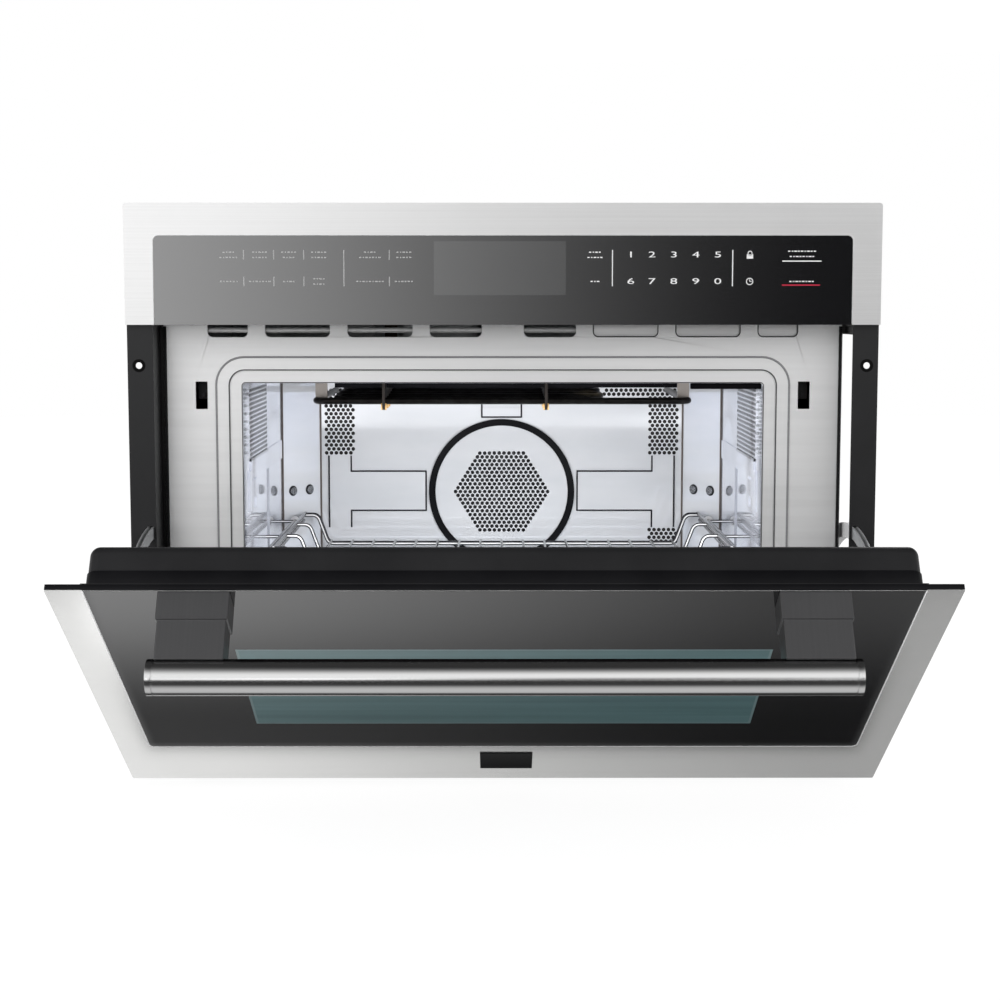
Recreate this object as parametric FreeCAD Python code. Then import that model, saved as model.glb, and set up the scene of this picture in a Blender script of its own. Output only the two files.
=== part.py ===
"""A built-in wall oven and microwave combination, 30 in wide, with a drop-down door.

Lengths are in millimetres, angles in degrees. X runs to the right, Y runs into the cabinet, Z runs up.
The origin is the centre of the base plate's underside. The door is modelled part open.
"""
import FreeCAD, Part
import math
import os
from FreeCAD import Vector

# The whole appliance
front_width = 757.0
fascia_bottom = 470.0
fascia_height = 121.0
door_gap = 3.0
casing_width = 698.0
casing_depth = 496.0
casing_upper = 105.0
face_setback = 48.0
casing_sheet = 1.2
cut_overrun = 2.0
running_clearance = 0.05
seat_clearance = 0.3

# Casing vents: rows of round-ended slots
vent_length = 34.0
vent_width = 4.0
vent_pitch = 42.0
vent_row_pitch = 12.0
base_vent_columns = 10
base_vent_rows = 3
base_vent_setback = 60.0
side_vent_columns = 6
side_vent_rows = 4
side_vent_drop = 40.0
side_vent_setback = 160.0
top_vent_columns = 8
top_vent_rows = 4
top_vent_setback = 70.0
rear_vent_columns = 6
rear_vent_rows = 5
rear_vent_drop = 60.0

# Supply inlet in the rear panel
gland_hole_radius = 11.0
gland_flange_radius = 16.0
gland_bore_radius = 8.0
gland_length = 22.0
gland_flange = 3.0
gland_inset = 70.0
gland_drop = 90.0

# Face plate behind the door
mouth_half_width = 268.3
mouth_top_drop = 60.4
mouth_height = 299.6
mouth_corner = 4.0
bead_inner_margin = 13.7
bead_band = 13.5
bead_rise = 1.2
bead_inner_corner = 16.0
bead_outer_corner = 29.0
air_slot_rise = 3.0
air_slot_drop = 12.9
air_slot_corner = 5.5
air_slot_starts = (21.6, 92.8, 177.7, 262.2)
air_slot_ends = (75.2, 159.7, 244.2, 303.4)
latch_slot_inner = 304.5
latch_slot_width = 12.0
latch_slot_top_drop = 58.9
latch_slot_height = 28.1

# Side strips that screw to the cabinet's face
strip_setback = 8.0
strip_sheet = 1.2
strip_inner = 352.5
strip_foot = 10.0
strip_jog_depth = 4.0
strip_lap = 16.0
strip_bridge = 24.0
mount_half_width = 367.0
mount_hole_radius = 3.3
mount_top_drop = 41.0
mount_low_height = 60.0

# Fascia and controls
fascia_depth = 24.0
fascia_sheet = 1.5
fascia_outer_corner = 3.0
glass_thickness = 4.0
glass_fit = 0.25
glass_recess = 0.2
control_glass_width = 699.3
control_glass_height = 89.0
control_glass_corner = 6.0
housing_half_width = 354.0
housing_wall = 2.0
housing_floor_rise = 6.0
housing_top_drop = 3.0
carrier_half_width = 372.0
carrier_top_drop = 5.0
carrier_foot = 4.0
board_thickness = 1.6
touch_half_width = 340.0
touch_low = 10.0
touch_high = 85.5
display_left = -69.1
display_right = 62.7
display_low = 29.7
display_high = 83.2
display_depth = 12.0
power_board_left = -150.0
power_board_right = 60.0
power_board_depth = 24.0
power_board_margin = 4.0
standoff_radius = 3.0
standoff_inset = 8.0
relay_size = 15.0
relay_count = 5
relay_pitch = 34.0
coil_width = 38.0
coil_height = 30.0
coil_depth = 14.0

# Door panel
door_height = 434.0
door_open = 55.0
hinge_depth = 20.0
hinge_height = 13.3
panel_depth = 5.5
frame_sheet = 1.2
frame_corner = 2.0
door_glass_width = 693.8
door_glass_height = 347.0
door_glass_corner = 6.0
window_half_width = 235.7
window_top_drop = 118.0
window_height = 170.0
liner_reach = 45.0
liner_wall = 2.0
liner_top_drop = 3.0
liner_foot = 15.0
liner_round = 9.0
liner_flange = 3.5
liner_flange_sheet = 1.2
liner_mouth_half = 290.0
liner_jamb = 56.0
liner_mouth_margin = 40.0
choke_sheet = 1.2
choke_lap = 9.0
inner_glass_lap = 10.0

# Handle
handle_radius = 15.0
handle_wall = 1.6
handle_half_length = 290.0
handle_cap = 4.0
handle_stand = 70.0
handle_drop = 18.0
bracket_inner = 226.0
bracket_outer = 285.5
bracket_height = 32.0
bracket_top_drop = 2.0
bracket_base_reach = 25.0
bracket_reach = 60.0
bracket_step = 1.5

# Hinges and stay arms
hinge_arm_inner = 325.0
hinge_arm_sheet = 6.0
hinge_eye_radius = 9.0
hinge_pin_radius = 5.0
hinge_arm_height = 82.0
hinge_arm_foot_depth = 9.0
hinge_arm_knee = 12.5
hinge_cheek_sheet = 3.0
hinge_cheek_gap = 0.6
hinge_cheek_low = 9.0
hinge_cheek_high = 16.0
hinge_pin_end = 1.5
hinge_back_sheet = 2.0
hinge_back_margin = 3.0
stay_inner_radius = 240.0
stay_outer_radius = 252.0
stay_width = 6.0
stay_sheet = 1.4
stay_tail_angle = 88.0
stay_lead_angle = 8.0
guide_wall = 1.0
guide_gap = 0.6
guide_end_angle = 89.5
guide_cap_angle = 0.4
guide_pad = 18.0
guide_pad_angles = (48.0, 78.0)

# Latch
latch_rod_depth = 30.0
latch_rod_height = 397.0
latch_rod_radius = 2.5
latch_plate = 3.0
latch_jamb = 19.0
latch_shank = 5.0
latch_reach = 28.0
latch_nose_drop = 6.0
latch_nose_length = 7.0
latch_tail = 5.0
latch_ear_gap = 1.0
latch_ear = 3.0
latch_ear_half = 7.0
latch_slot_margin = 2.5
latch_swing_room = 16.0
switch_gap = 12.8
switch_tab = 6.0
switch_width = 11.0
switch_height = 22.0
switch_length = 30.0
switch_rise = 4.0
plunger_radius = 2.0
plunger_reach = 3.5
plunger_length = 12.0
plunger_height = 397.0

# Cavity
cavity_half_width = 268.0
cavity_floor_height = 105.0
cavity_ceiling_height = 420.0
cavity_back_depth = 438.0
cavity_chamfer = 43.0
cavity_sheet = 1.0
emboss_rise = 1.5
hole_radius = 1.85
hole_pitch = 6.03
hole_row_pitch = 4.86
side_patch_depth = 98.0
side_patch_columns = 25
side_patch_rows = 16
side_patch_low = 326.5
rib_depth = 250.0
rib_width = 14.0
rib_top_drop = 143.0
step_height = 22.0
pad_depth = 84.0
pad_length = 70.0
pad_drop = 155.0
pad_height = 43.0
pad_waist_share = 0.45

# Fan cover in the rear wall
fan_drop = 211.6
fan_hole_radius = 80.0
fan_cover_radius = 82.2
fan_cover_sheet = 1.0
fan_ring_inner = 82.4
fan_ring_outer = 90.4
fan_ring_depth = 3.0
fan_hex_rows = 10
fan_hex_row_pitch = 4.81
rear_patch_inner = 184.4
rear_patch_columns = 6
rear_patch_rows = 15
rear_patch_drop = 163.2
low_patch_rows = 4
low_patch_drop = 259.5
top_band_columns = 16
top_band_rows = 2
wing_inner = 94.0
wing_outer = 187.0
wing_top_drop = 186.0
wing_bottom_drop = 235.0
wing_column = 27.5
wing_margin = 2.0
tab_half_width = 24.5
tab_drop = 118.7
tab_height = 12.0

# Convection unit behind the rear wall
plenum_radius = 106.0
plenum_depth = 42.0
plenum_sheet = 1.0
plenum_flange = 10.0
plenum_shaft_hole = 7.0
impeller_radius = 68.0
impeller_width = 20.0
impeller_disc = 1.5
impeller_setback = 12.0
impeller_blades = 10
impeller_hub_radius = 12.0
impeller_shaft_radius = 4.0
heater_ring_radius = 92.0
heater_tube_radius = 3.25
heater_setback = 22.0
motor_radius = 34.0
motor_length = 40.0
motor_gap = 2.0
motor_foot_radius = 5.0
motor_foot_circle = 24.0

# Broil element
element_radius = 3.7
element_drop = 85.0
element_half_width = 205.0
element_front_depth = 170.0
element_corner = 14.0
grill_left = -186.0
grill_right = 112.0
grill_tail = -60.0
grill_first_depth = 208.0
grill_pitch = 34.0
grill_passes = 6
grill_rise = 6.0
clip_sheet = 3.0
clip_positions = (-130.0, 48.0)
clip_hang = 4.0
end_clip_inset = 3.0
end_clip_width = 13.0
end_clip_sheet = 4.0
end_clip_depth = 178.0
bead_radius = 4.4
bead_length = 6.0

# Rack and its supports
rack_half_width = 242.5
rack_front_depth = 80.0
rack_back_depth = 416.0
rack_rail_drop = 237.0
rack_deck_drop = 272.0
rack_rail_radius = 2.6
rack_bar_radius = 2.2
rack_wire_radius = 1.6
rack_wires = 17
rack_wire_pitch = 26.2
rack_shoulder = 226.0
rack_dip = 213.0
rack_corner = 9.0
rack_bar_gap = 9.0
rack_bar_inset = 6.0
rack_mid_bars = 2
support_half_width = 252.0
support_radius = 2.5
support_front_depth = 70.0
support_back_depth = 392.0
support_bridge = 236.0
support_posts = 3
support_plug_radius = 6.0
support_plug_length = 8.0
support_post_inset = 12.0
support_post_radius = 2.0

# Turntable
turntable_radius = 178.0
turntable_depth = 243.0
turntable_glass = 5.0
turntable_rim = 9.0
turntable_lip = 12.0
roller_ring_radius = 112.0
roller_wire_radius = 3.0
roller_radius = 6.8
roller_width = 9.0
roller_count = 3
coupler_radius = 14.0
coupler_height = 7.0
coupler_lobes = 3
coupler_shaft_radius = 4.0
coupler_hole_radius = 6.0
table_motor_radius = 25.0
table_motor_height = 16.0
table_motor_lug = 34.0
table_motor_lug_sheet = 2.0

# Microwave source, on a deck above the cavity
deck_height = 443.0
port_left = 100.0
port_width = 96.0
port_depth = 236.0
port_length = 46.0
cover_margin = 9.0
cover_sheet = 0.8
duct_sheet = 1.5
duct_height = 60.0
antenna_radius = 8.0
antenna_drop = 26.0
magnetron_width = 92.0
magnetron_length = 70.0
magnetron_height = 62.0
magnetron_fins = 7
magnetron_fin_gap_share = 0.55
magnetron_core = 21.0
magnetron_cap = 9.0
transformer_right = -40.0
transformer_depth = 300.0
transformer_width = 96.0
transformer_length = 82.0
transformer_height = 70.0
transformer_coil_grow = 12.0
transformer_coil_share = 0.5
capacitor_right = -20.0
capacitor_depth = 180.0
capacitor_width = 96.0
capacitor_length = 50.0
capacitor_height = 34.0
capacitor_corner = 14.0
terminal_radius = 2.5
terminal_height = 9.0

# Cooling blower, on the deck
blower_left = -260.0
blower_depth = 330.0
blower_width = 60.0
blower_side = 104.0
blower_wall = 1.5
blower_inlet_radius = 34.0
wheel_radius = 42.0
wheel_width = 46.0
wheel_disc = 1.5
wheel_blades = 20
wheel_hub_radius = 9.0
wheel_shaft_radius = 3.0
blower_motor_radius = 28.0
blower_motor_length = 44.0
blower_motor_gap = 2.0

# Cavity lamp behind the left perforations
lamp_radius = 12.0
lamp_length = 26.0
lamp_depth = 175.0
lamp_height = 368.0
lamp_socket = 30.0
lamp_socket_length = 14.0
lamp_plate_sheet = 1.2
lamp_plate_half = 40.0

# Insulation blankets
blanket = 20.0
blanket_gap = 1.0

# Screws in the corner panels
screw_radius = 5.0
screw_head = 2.6
screw_drop = 207.6
screw_places_share = (0.27, 0.70)

# Places that follow from the sizes
casing_height = fascia_bottom + casing_upper
half_casing = casing_width / 2
half_front = front_width / 2
face_y = -casing_depth / 2
rear_y = casing_depth / 2
front_y = face_y - face_setback
fascia_top = fascia_bottom + fascia_height
glass_back = front_y + glass_recess + glass_thickness
door_top = fascia_bottom - door_gap
door_bottom = door_top - door_height
hinge = Vector(0, front_y + hinge_depth, hinge_height)
panel_back = front_y + panel_depth
liner_face = front_y + liner_reach
liner_half_width = liner_mouth_half + liner_jamb
latch_plate_inner = liner_mouth_half + latch_jamb
mouth_top = fascia_bottom - mouth_top_drop
mouth_bottom = mouth_top - mouth_height
strip_y = front_y + strip_setback
strip_back = strip_y + strip_sheet
arm_inner = strip_inner + strip_sheet + guide_wall + guide_gap
arm_outer = arm_inner + stay_width
cavity_back = front_y + cavity_back_depth
chamfer_start = cavity_back - cavity_chamfer
cavity_flat = cavity_half_width - cavity_chamfer
cavity_front = face_y + casing_sheet
fan_height = fascia_bottom - fan_drop
window_high = door_top - window_top_drop
window_low = window_high - window_height
table_y = front_y + turntable_depth
deck_top = deck_height + casing_sheet


def block(x, y, z):
    """A box from its low and high sides along each axis."""
    return Part.makeBox(x[1] - x[0], y[1] - y[0], z[1] - z[0], Vector(x[0], y[0], z[0]))


def at(plane, u, v, w):
    """A point of a working plane: front is X by Z, side is Y by Z, flat is X by Y."""
    if plane == "front":
        return Vector(u, w, v)
    if plane == "side":
        return Vector(w, u, v)
    return Vector(u, v, w)


def poly(points):
    """A straight-sided outline, drawn later on a plane."""
    def draw(plane, w):
        corners = [at(plane, u, v, w) for u, v in points]
        return Part.makePolygon(corners + corners[:1])
    return draw


def disc(u, v, radius):
    """A round outline, drawn later on a plane."""
    def draw(plane, w):
        return Part.Wire(Part.makeCircle(radius, at(plane, u, v, w), at(plane, 0, 0, 1)))
    return draw


def rect(u, v, low_corner=0.0, high_corner=None):
    """A rectangle with rounded lower and upper corners, drawn later on a plane."""
    high = low_corner if high_corner is None else high_corner
    turns = ((u[0], v[0], 1, 1, low_corner), (u[1], v[0], -1, 1, low_corner),
             (u[1], v[1], -1, -1, high), (u[0], v[1], 1, -1, high))

    def draw(plane, w):
        ends = []
        for index, (cu, cv, su, sv, r) in enumerate(turns):
            along_u = (cu + su * r, cv)
            along_v = (cu, cv + sv * r)
            pair = (along_v, along_u) if index % 2 == 0 else (along_u, along_v)
            middle = (cu + su * r * (1 - math.sqrt(0.5)), cv + sv * r * (1 - math.sqrt(0.5)))
            ends.append((pair, middle, r))
        edges = []
        for index, ((start, end), middle, r) in enumerate(ends):
            if r > 0:
                corners = [at(plane, *point, w) for point in (start, middle, end)]
                edges.append(Part.Arc(*corners).toShape())
            following = ends[(index + 1) % len(ends)][0][0]
            if math.dist(end, following) > 0:
                edges.append(Part.makeLine(at(plane, *end, w), at(plane, *following, w)))
        return Part.Wire(edges)
    return draw


def sheet(plane, w, outer, holes=()):
    """A flat plate with holes, from w[0] to w[1] across its plane."""
    wires = [outer(plane, w[0])] + [hole(plane, w[0]) for hole in holes]
    face = Part.makeFace(wires, "Part::FaceMakerBullseye")
    return face.extrude(at(plane, 0, 0, w[1] - w[0]))


def rod(start, end, radius):
    """A round bar between two points."""
    line = end - start
    return Part.makeCylinder(radius, line.Length, start, line)


def joined(shapes):
    """Several touching or crossing shapes as one solid."""
    body = shapes[0].multiFuse(shapes[1:]) if len(shapes) > 1 else shapes[0]
    return body.removeSplitter()


def mirrored(shape):
    """The left-hand copy of a right-hand shape."""
    return shape.mirror(Vector(0, 0, 0), Vector(1, 0, 0))


def both_sides(shape):
    """A right-hand shape with its left-hand copy, as separate solids."""
    return Part.makeCompound([shape, mirrored(shape)])


def swung(shape):
    """A door piece turned from closed to the modelled opening."""
    turned = shape.copy()
    turned.rotate(hinge, Vector(1, 0, 0), door_open)
    return turned


def slots(u_centre, v_centre, columns, rows, upright=False):
    """A field of round-ended slots about a centre."""
    holes = []
    for row in range(rows):
        for column in range(columns):
            along = (column - (columns - 1) / 2) * vent_pitch
            across = (row - (rows - 1) / 2) * vent_row_pitch
            if upright:
                along, across = across, along
            size_u, size_v = (vent_width, vent_length) if upright else (vent_length, vent_width)
            u, v = u_centre + along, v_centre + across
            span_u = (u - size_u / 2, u + size_u / 2)
            span_v = (v - size_v / 2, v + size_v / 2)
            holes.append(rect(span_u, span_v, vent_width / 2 - running_clearance))
    return holes


def perforations(u_start, v_start, columns, rows, u_step, v_step):
    """Staggered rows of small round holes."""
    holes = []
    for row in range(rows):
        shift = u_step / 2 if row % 2 else 0
        for column in range(columns):
            holes.append(disc(u_start + shift + column * u_step, v_start + row * v_step, hole_radius))
    return holes


def rounded_path(points, corner):
    """A wire of straight runs joined by tangent arcs."""
    edges = []
    last = points[0]
    for before, here, after in zip(points, points[1:], points[2:]):
        back = (before - here).normalize()
        ahead = (after - here).normalize()
        half_turn = back.getAngle(ahead) / 2
        reach = corner / math.tan(half_turn)
        start = here + back * reach
        end = here + ahead * reach
        inward = (back + ahead).normalize()
        middle = here + inward * (corner / math.sin(half_turn) - corner)
        edges.append(Part.makeLine(last, start))
        edges.append(Part.Arc(start, middle, end).toShape())
        last = end
    edges.append(Part.makeLine(last, points[-1]))
    return Part.Wire(edges)


def tube(points, corner, radius):
    """A round wire bent along a path."""
    path = rounded_path(points, corner)
    first = points[1] - points[0]
    profile = Part.Wire(Part.makeCircle(radius, points[0], first))
    return path.makePipeShell([profile], True, False)


def base_plate():
    vents = slots(0, rear_y - base_vent_setback, base_vent_columns, base_vent_rows)
    return sheet("flat", (0, casing_sheet), rect((-half_casing, half_casing), (face_y, rear_y)), vents)


def casing_side():
    """The right-hand side panel."""
    vents = slots(rear_y - side_vent_setback, casing_height - side_vent_drop, side_vent_columns, side_vent_rows)
    outline = rect((face_y + casing_sheet, rear_y - casing_sheet), (casing_sheet, casing_height - casing_sheet))
    return sheet("side", (half_casing - casing_sheet, half_casing), outline, vents)


def casing_top():
    vents = slots(0, rear_y - top_vent_setback, top_vent_columns, top_vent_rows)
    outline = rect((-half_casing, half_casing), (face_y, rear_y))
    return sheet("flat", (casing_height - casing_sheet, casing_height), outline, vents)


def gland_place():
    """Centre of the supply inlet on the rear panel."""
    return half_casing - gland_inset, casing_height - gland_drop


def rear_panel():
    vents = slots(0, casing_height - rear_vent_drop, rear_vent_columns, rear_vent_rows)
    gland = disc(*gland_place(), gland_hole_radius)
    outline = rect((-half_casing, half_casing), (casing_sheet, casing_height - casing_sheet))
    return sheet("front", (rear_y - casing_sheet, rear_y), outline, vents + [gland])


def conduit_gland():
    """A flanged bush whose neck fills the inlet hole."""
    x, z = gland_place()
    inner = rear_y - casing_sheet - gland_flange
    neck = rod(Vector(x, inner, z), Vector(x, inner + gland_length, z), gland_hole_radius)
    outer = rod(Vector(x, rear_y, z), Vector(x, rear_y + gland_flange, z), gland_flange_radius)
    nut = rod(Vector(x, inner, z), Vector(x, rear_y - casing_sheet, z), gland_flange_radius)
    bore = rod(Vector(x, inner - cut_overrun, z), Vector(x, rear_y + gland_length, z), gland_bore_radius)
    return joined([neck, outer, nut]).cut(bore)


def air_slots():
    """The row of cooling air outlets above the oven's mouth."""
    holes = []
    z = (fascia_bottom - air_slot_drop, fascia_bottom + air_slot_rise)
    for start, end in zip(air_slot_starts, air_slot_ends):
        holes.append(rect((start, end), z, air_slot_corner))
        holes.append(rect((-end, -start), z, air_slot_corner))
    return holes


def latch_slots():
    """The two upright slots that take the door's hooks."""
    z = (fascia_bottom - latch_slot_top_drop - latch_slot_height, fascia_bottom - latch_slot_top_drop)
    right = (latch_slot_inner, latch_slot_inner + latch_slot_width)
    return [rect(right, z), rect((-right[1], -right[0]), z)]


def around_mouth(margin, corner):
    """A rounded rectangle that stands off the oven's mouth by a margin."""
    x = mouth_half_width + margin
    return rect((-x, x), (mouth_bottom - margin, mouth_top + margin), corner)


def face_plate():
    outline = rect((-half_casing, half_casing), (casing_sheet, casing_height - casing_sheet))
    holes = [around_mouth(0, mouth_corner)] + air_slots() + latch_slots()
    plate = sheet("front", (face_y, face_y + casing_sheet), outline, holes)
    inner = around_mouth(bead_inner_margin, bead_inner_corner)
    outer = around_mouth(bead_inner_margin + bead_band, bead_outer_corner)
    bead = sheet("front", (face_y - bead_rise, face_y), outer, [inner])
    return joined([plate, bead])


def side_strip(cut_out):
    """The right-hand strip: a flange on the cabinet's face, a wall, and a lap on the casing."""
    z = (strip_foot, fascia_bottom)
    slot_x = (arm_inner - guide_gap, arm_outer + guide_gap)
    reach = hinge.y - strip_y
    low = hinge.z + math.sqrt(stay_inner_radius ** 2 - reach ** 2) - guide_gap
    high = hinge.z + math.sqrt(stay_outer_radius ** 2 - (reach - strip_sheet) ** 2) + guide_gap
    holes = [disc(mount_half_width, fascia_bottom - mount_top_drop, mount_hole_radius),
             disc(mount_half_width, mount_low_height, mount_hole_radius),
             rect(slot_x, (low, high))]
    flange = sheet("front", (strip_y, strip_back), rect((strip_inner, half_front), z), holes)
    jog = face_y + strip_jog_depth
    wall = block((strip_inner, strip_inner + strip_sheet), (strip_back, jog), z)
    step = block((half_casing, strip_inner + strip_sheet), (jog, jog + strip_sheet), z)
    lap = block((half_casing, half_casing + strip_sheet), (jog + strip_sheet, jog + strip_sheet + strip_lap), z)
    strip = joined([flange, wall, step, lap])
    if cut_out:
        x = (half_casing + strip_sheet, strip_inner + strip_sheet + cut_overrun)
        window = block(x, (strip_back, jog + strip_sheet), (z[0] + strip_bridge, z[1] - strip_foot))
        strip = strip.cut(window)
    return strip


def arc_section(outline, start, end):
    """A closed outline of (x, radius) points swept about the hinge, angles from upright to the rear."""
    corners = [Vector(x, hinge.y, hinge.z + r) for x, r in outline]
    face = Part.Face(Part.makePolygon(corners + corners[:1]))
    face.rotate(hinge, Vector(1, 0, 0), -start)
    return face.revolve(hinge, Vector(1, 0, 0), start - end)


def box_outline(x, r):
    return [(x[0], r[0]), (x[1], r[0]), (x[1], r[1]), (x[0], r[1])]


def arm_guide():
    """A closed channel beside the casing that the stay arm slides in."""
    inner_x = (arm_inner - guide_gap, arm_outer + guide_gap)
    inner_r = (stay_inner_radius - guide_gap, stay_outer_radius + guide_gap)
    outer_x = (inner_x[0] - guide_wall, inner_x[1] + guide_wall)
    outer_r = (inner_r[0] - guide_wall, inner_r[1] + guide_wall)
    shell = arc_section(box_outline(outer_x, outer_r), -stay_lead_angle, guide_end_angle)
    room = arc_section(box_outline(inner_x, inner_r), -stay_lead_angle, guide_end_angle - guide_cap_angle)
    x = (outer_x[0] - cut_overrun, outer_x[1] + cut_overrun)
    front = block(x, (front_y - stay_outer_radius, strip_back), (0, fascia_bottom))
    channel = shell.cut(room).cut(front)
    pads = []
    for angle in guide_pad_angles:
        radius = (outer_r[0] + outer_r[1]) / 2
        y = hinge.y + radius * math.sin(math.radians(angle))
        z = hinge.z + radius * math.cos(math.radians(angle))
        square = ((y - guide_pad / 2, y + guide_pad / 2), (z - guide_pad / 2, z + guide_pad / 2))
        pads.append(block((half_casing, outer_x[0]), *square).cut(room))
    return joined([channel] + pads)


def fascia_frame():
    """A folded steel surround, open below for the control glass."""
    y = (front_y, front_y + fascia_depth)
    outline = rect((-half_front, half_front), (fascia_bottom, fascia_top), 0.0, fascia_outer_corner)
    body = sheet("front", y, outline)
    inside = half_front - fascia_sheet
    pocket = block((-inside, inside), (y[0] + fascia_sheet, y[1] + cut_overrun),
                   (fascia_bottom + fascia_sheet, fascia_top - fascia_sheet))
    x = control_glass_width / 2 + glass_fit
    top = fascia_bottom + control_glass_height + glass_fit
    opening = sheet("front", (y[0] - cut_overrun, y[1] + cut_overrun),
                    rect((-x, x), (fascia_bottom - cut_overrun, top), 0.0, control_glass_corner))
    return body.cut(pocket).cut(opening)


def control_glass():
    x = control_glass_width / 2
    z = (fascia_bottom, fascia_bottom + control_glass_height)
    return sheet("front", (front_y + glass_recess, glass_back), rect((-x, x), z, 0.0, control_glass_corner))


def control_housing():
    """A tray behind the control glass with a rim that carries the surround."""
    floor = fascia_bottom + housing_floor_rise
    top = casing_height - housing_top_drop
    body = block((-housing_half_width, housing_half_width), (glass_back, face_y), (floor, top))
    inside = housing_half_width - housing_wall
    room = block((-inside, inside), (glass_back - cut_overrun, face_y - housing_wall),
                 (floor + housing_wall, top - housing_wall))
    x = control_glass_width / 2 + housing_wall / 2
    rim_outline = rect((-carrier_half_width, carrier_half_width),
                       (fascia_bottom + carrier_foot, fascia_top - carrier_top_drop))
    rim = sheet("front", (front_y + fascia_sheet, glass_back), rim_outline)
    gap_top = fascia_bottom + control_glass_height + housing_wall / 2
    gap = block((-x, x), (front_y, glass_back), (fascia_bottom, gap_top))
    return joined([body.cut(room), rim.cut(gap)])


def display_window(clearance):
    """Outline of the display, grown by a clearance."""
    x = (display_left - clearance, display_right + clearance)
    return rect(x, (fascia_bottom + display_low - clearance, fascia_bottom + display_high + clearance))


def touch_board():
    outline = rect((-touch_half_width, touch_half_width), (fascia_bottom + touch_low, fascia_bottom + touch_high))
    return sheet("front", (glass_back, glass_back + board_thickness), outline, [display_window(seat_clearance)])


def display_module():
    return sheet("front", (glass_back, glass_back + display_depth), display_window(0))


def power_board():
    """A circuit board on stand-offs, with relays and a small transformer on its rear face."""
    y = front_y + power_board_depth
    back = face_y - housing_wall
    z = (fascia_bottom + housing_floor_rise + housing_wall + power_board_margin,
         casing_height - housing_top_drop - housing_wall - power_board_margin)
    x = (power_board_left, power_board_right)
    parts = [block(x, (y, y + board_thickness), z)]
    top_side = y + board_thickness
    for post_x in (x[0] + standoff_inset, x[1] - standoff_inset):
        for post_z in (z[0] + standoff_inset, z[1] - standoff_inset):
            parts.append(rod(Vector(post_x, top_side, post_z), Vector(post_x, back, post_z), standoff_radius))
    for index in range(relay_count):
        left = x[0] + standoff_inset * 2 + index * relay_pitch
        low = z[0] + standoff_inset
        depth = (top_side, top_side + relay_size)
        parts.append(block((left, left + relay_size), depth, (low, low + relay_size)))
    left = x[0] + standoff_inset * 3
    high = z[1] - standoff_inset
    parts.append(block((left, left + coil_width), (top_side, top_side + coil_depth), (high - coil_height, high)))
    return joined(parts)


def hinge_bracket():
    """Right-hand pivot bracket: two cheeks, a pin and a plate on the face plate."""
    gaps = (hinge_arm_inner - hinge_cheek_gap, hinge_arm_inner + hinge_arm_sheet + hinge_cheek_gap)
    y = (hinge.y - hinge_eye_radius, face_y)
    z = (hinge.z - hinge_cheek_low, hinge.z + hinge_cheek_high)
    inner = block((gaps[0] - hinge_cheek_sheet, gaps[0]), y, z)
    outer = block((gaps[1], gaps[1] + hinge_cheek_sheet), y, z)
    ends = (gaps[0] - hinge_cheek_sheet - hinge_pin_end, gaps[1] + hinge_cheek_sheet + hinge_pin_end)
    pin = rod(Vector(ends[0], hinge.y, hinge.z), Vector(ends[1], hinge.y, hinge.z), hinge_pin_radius)
    width = (ends[0] - hinge_back_margin, ends[1] + hinge_back_margin)
    back = block(width, (face_y - hinge_back_sheet, face_y), z)
    return joined([inner, outer, pin, back])


def hinge_arm():
    """Right-hand hinge arm, closed: an eye below the door and a leg up its back."""
    x = (hinge_arm_inner, hinge_arm_inner + hinge_arm_sheet)
    eye = rod(Vector(x[0], hinge.y, hinge.z), Vector(x[1], hinge.y, hinge.z), hinge_eye_radius)
    top = door_bottom + hinge_arm_height
    leg = sheet("side", x, poly([(panel_back, door_bottom + frame_sheet), (panel_back, top),
                                 (panel_back + hinge_arm_foot_depth, top),
                                 (panel_back + hinge_arm_foot_depth, door_bottom + hinge_arm_knee),
                                 (hinge.y + hinge_eye_radius, hinge.z),
                                 (hinge.y, hinge.z - hinge_eye_radius),
                                 (hinge.y - hinge_eye_radius / 2, hinge.z)]))
    hole = rod(Vector(x[0] - cut_overrun, hinge.y, hinge.z), Vector(x[1] + cut_overrun, hinge.y, hinge.z),
               hinge_pin_radius + running_clearance)
    return joined([eye, leg]).cut(hole)


def stay_arm():
    """Right-hand stay arm, closed: a channel section bent about the hinge."""
    x = (arm_inner, arm_outer)
    r = (stay_inner_radius, stay_outer_radius)
    outline = [(x[0], r[0]), (x[1], r[0]), (x[1], r[1]), (x[1] - stay_sheet, r[1]),
               (x[1] - stay_sheet, r[0] + stay_sheet), (x[0] + stay_sheet, r[0] + stay_sheet),
               (x[0] + stay_sheet, r[1]), (x[0], r[1])]
    arm = arc_section(outline, -stay_lead_angle, stay_tail_angle)
    room = block((x[0] - cut_overrun, x[1] + cut_overrun), (front_y - stay_outer_radius, panel_back),
                 (0, fascia_bottom))
    return arm.cut(room)


def door_frame():
    """A folded steel surround, open at the top for the door glass."""
    outline = rect((-half_front, half_front), (door_bottom, door_top), frame_corner)
    body = sheet("front", (front_y, panel_back), outline)
    x = door_glass_width / 2 + glass_fit
    low = door_top - door_glass_height
    opening = sheet("front", (front_y - cut_overrun, panel_back + cut_overrun),
                    rect((-x, x), (low, door_top + cut_overrun), door_glass_corner, 0.0))
    inside = half_front - frame_sheet
    pocket = block((-inside, inside), (front_y + frame_sheet, panel_back - frame_sheet),
                   (door_bottom + frame_sheet, door_top - frame_sheet))
    return body.cut(opening).cut(pocket)


def door_glass():
    x = door_glass_width / 2
    z = (door_top - door_glass_height + glass_fit, door_top - glass_fit)
    return sheet("front", (front_y + glass_recess, glass_back), rect((-x, x), z, door_glass_corner, 0.0))


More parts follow.
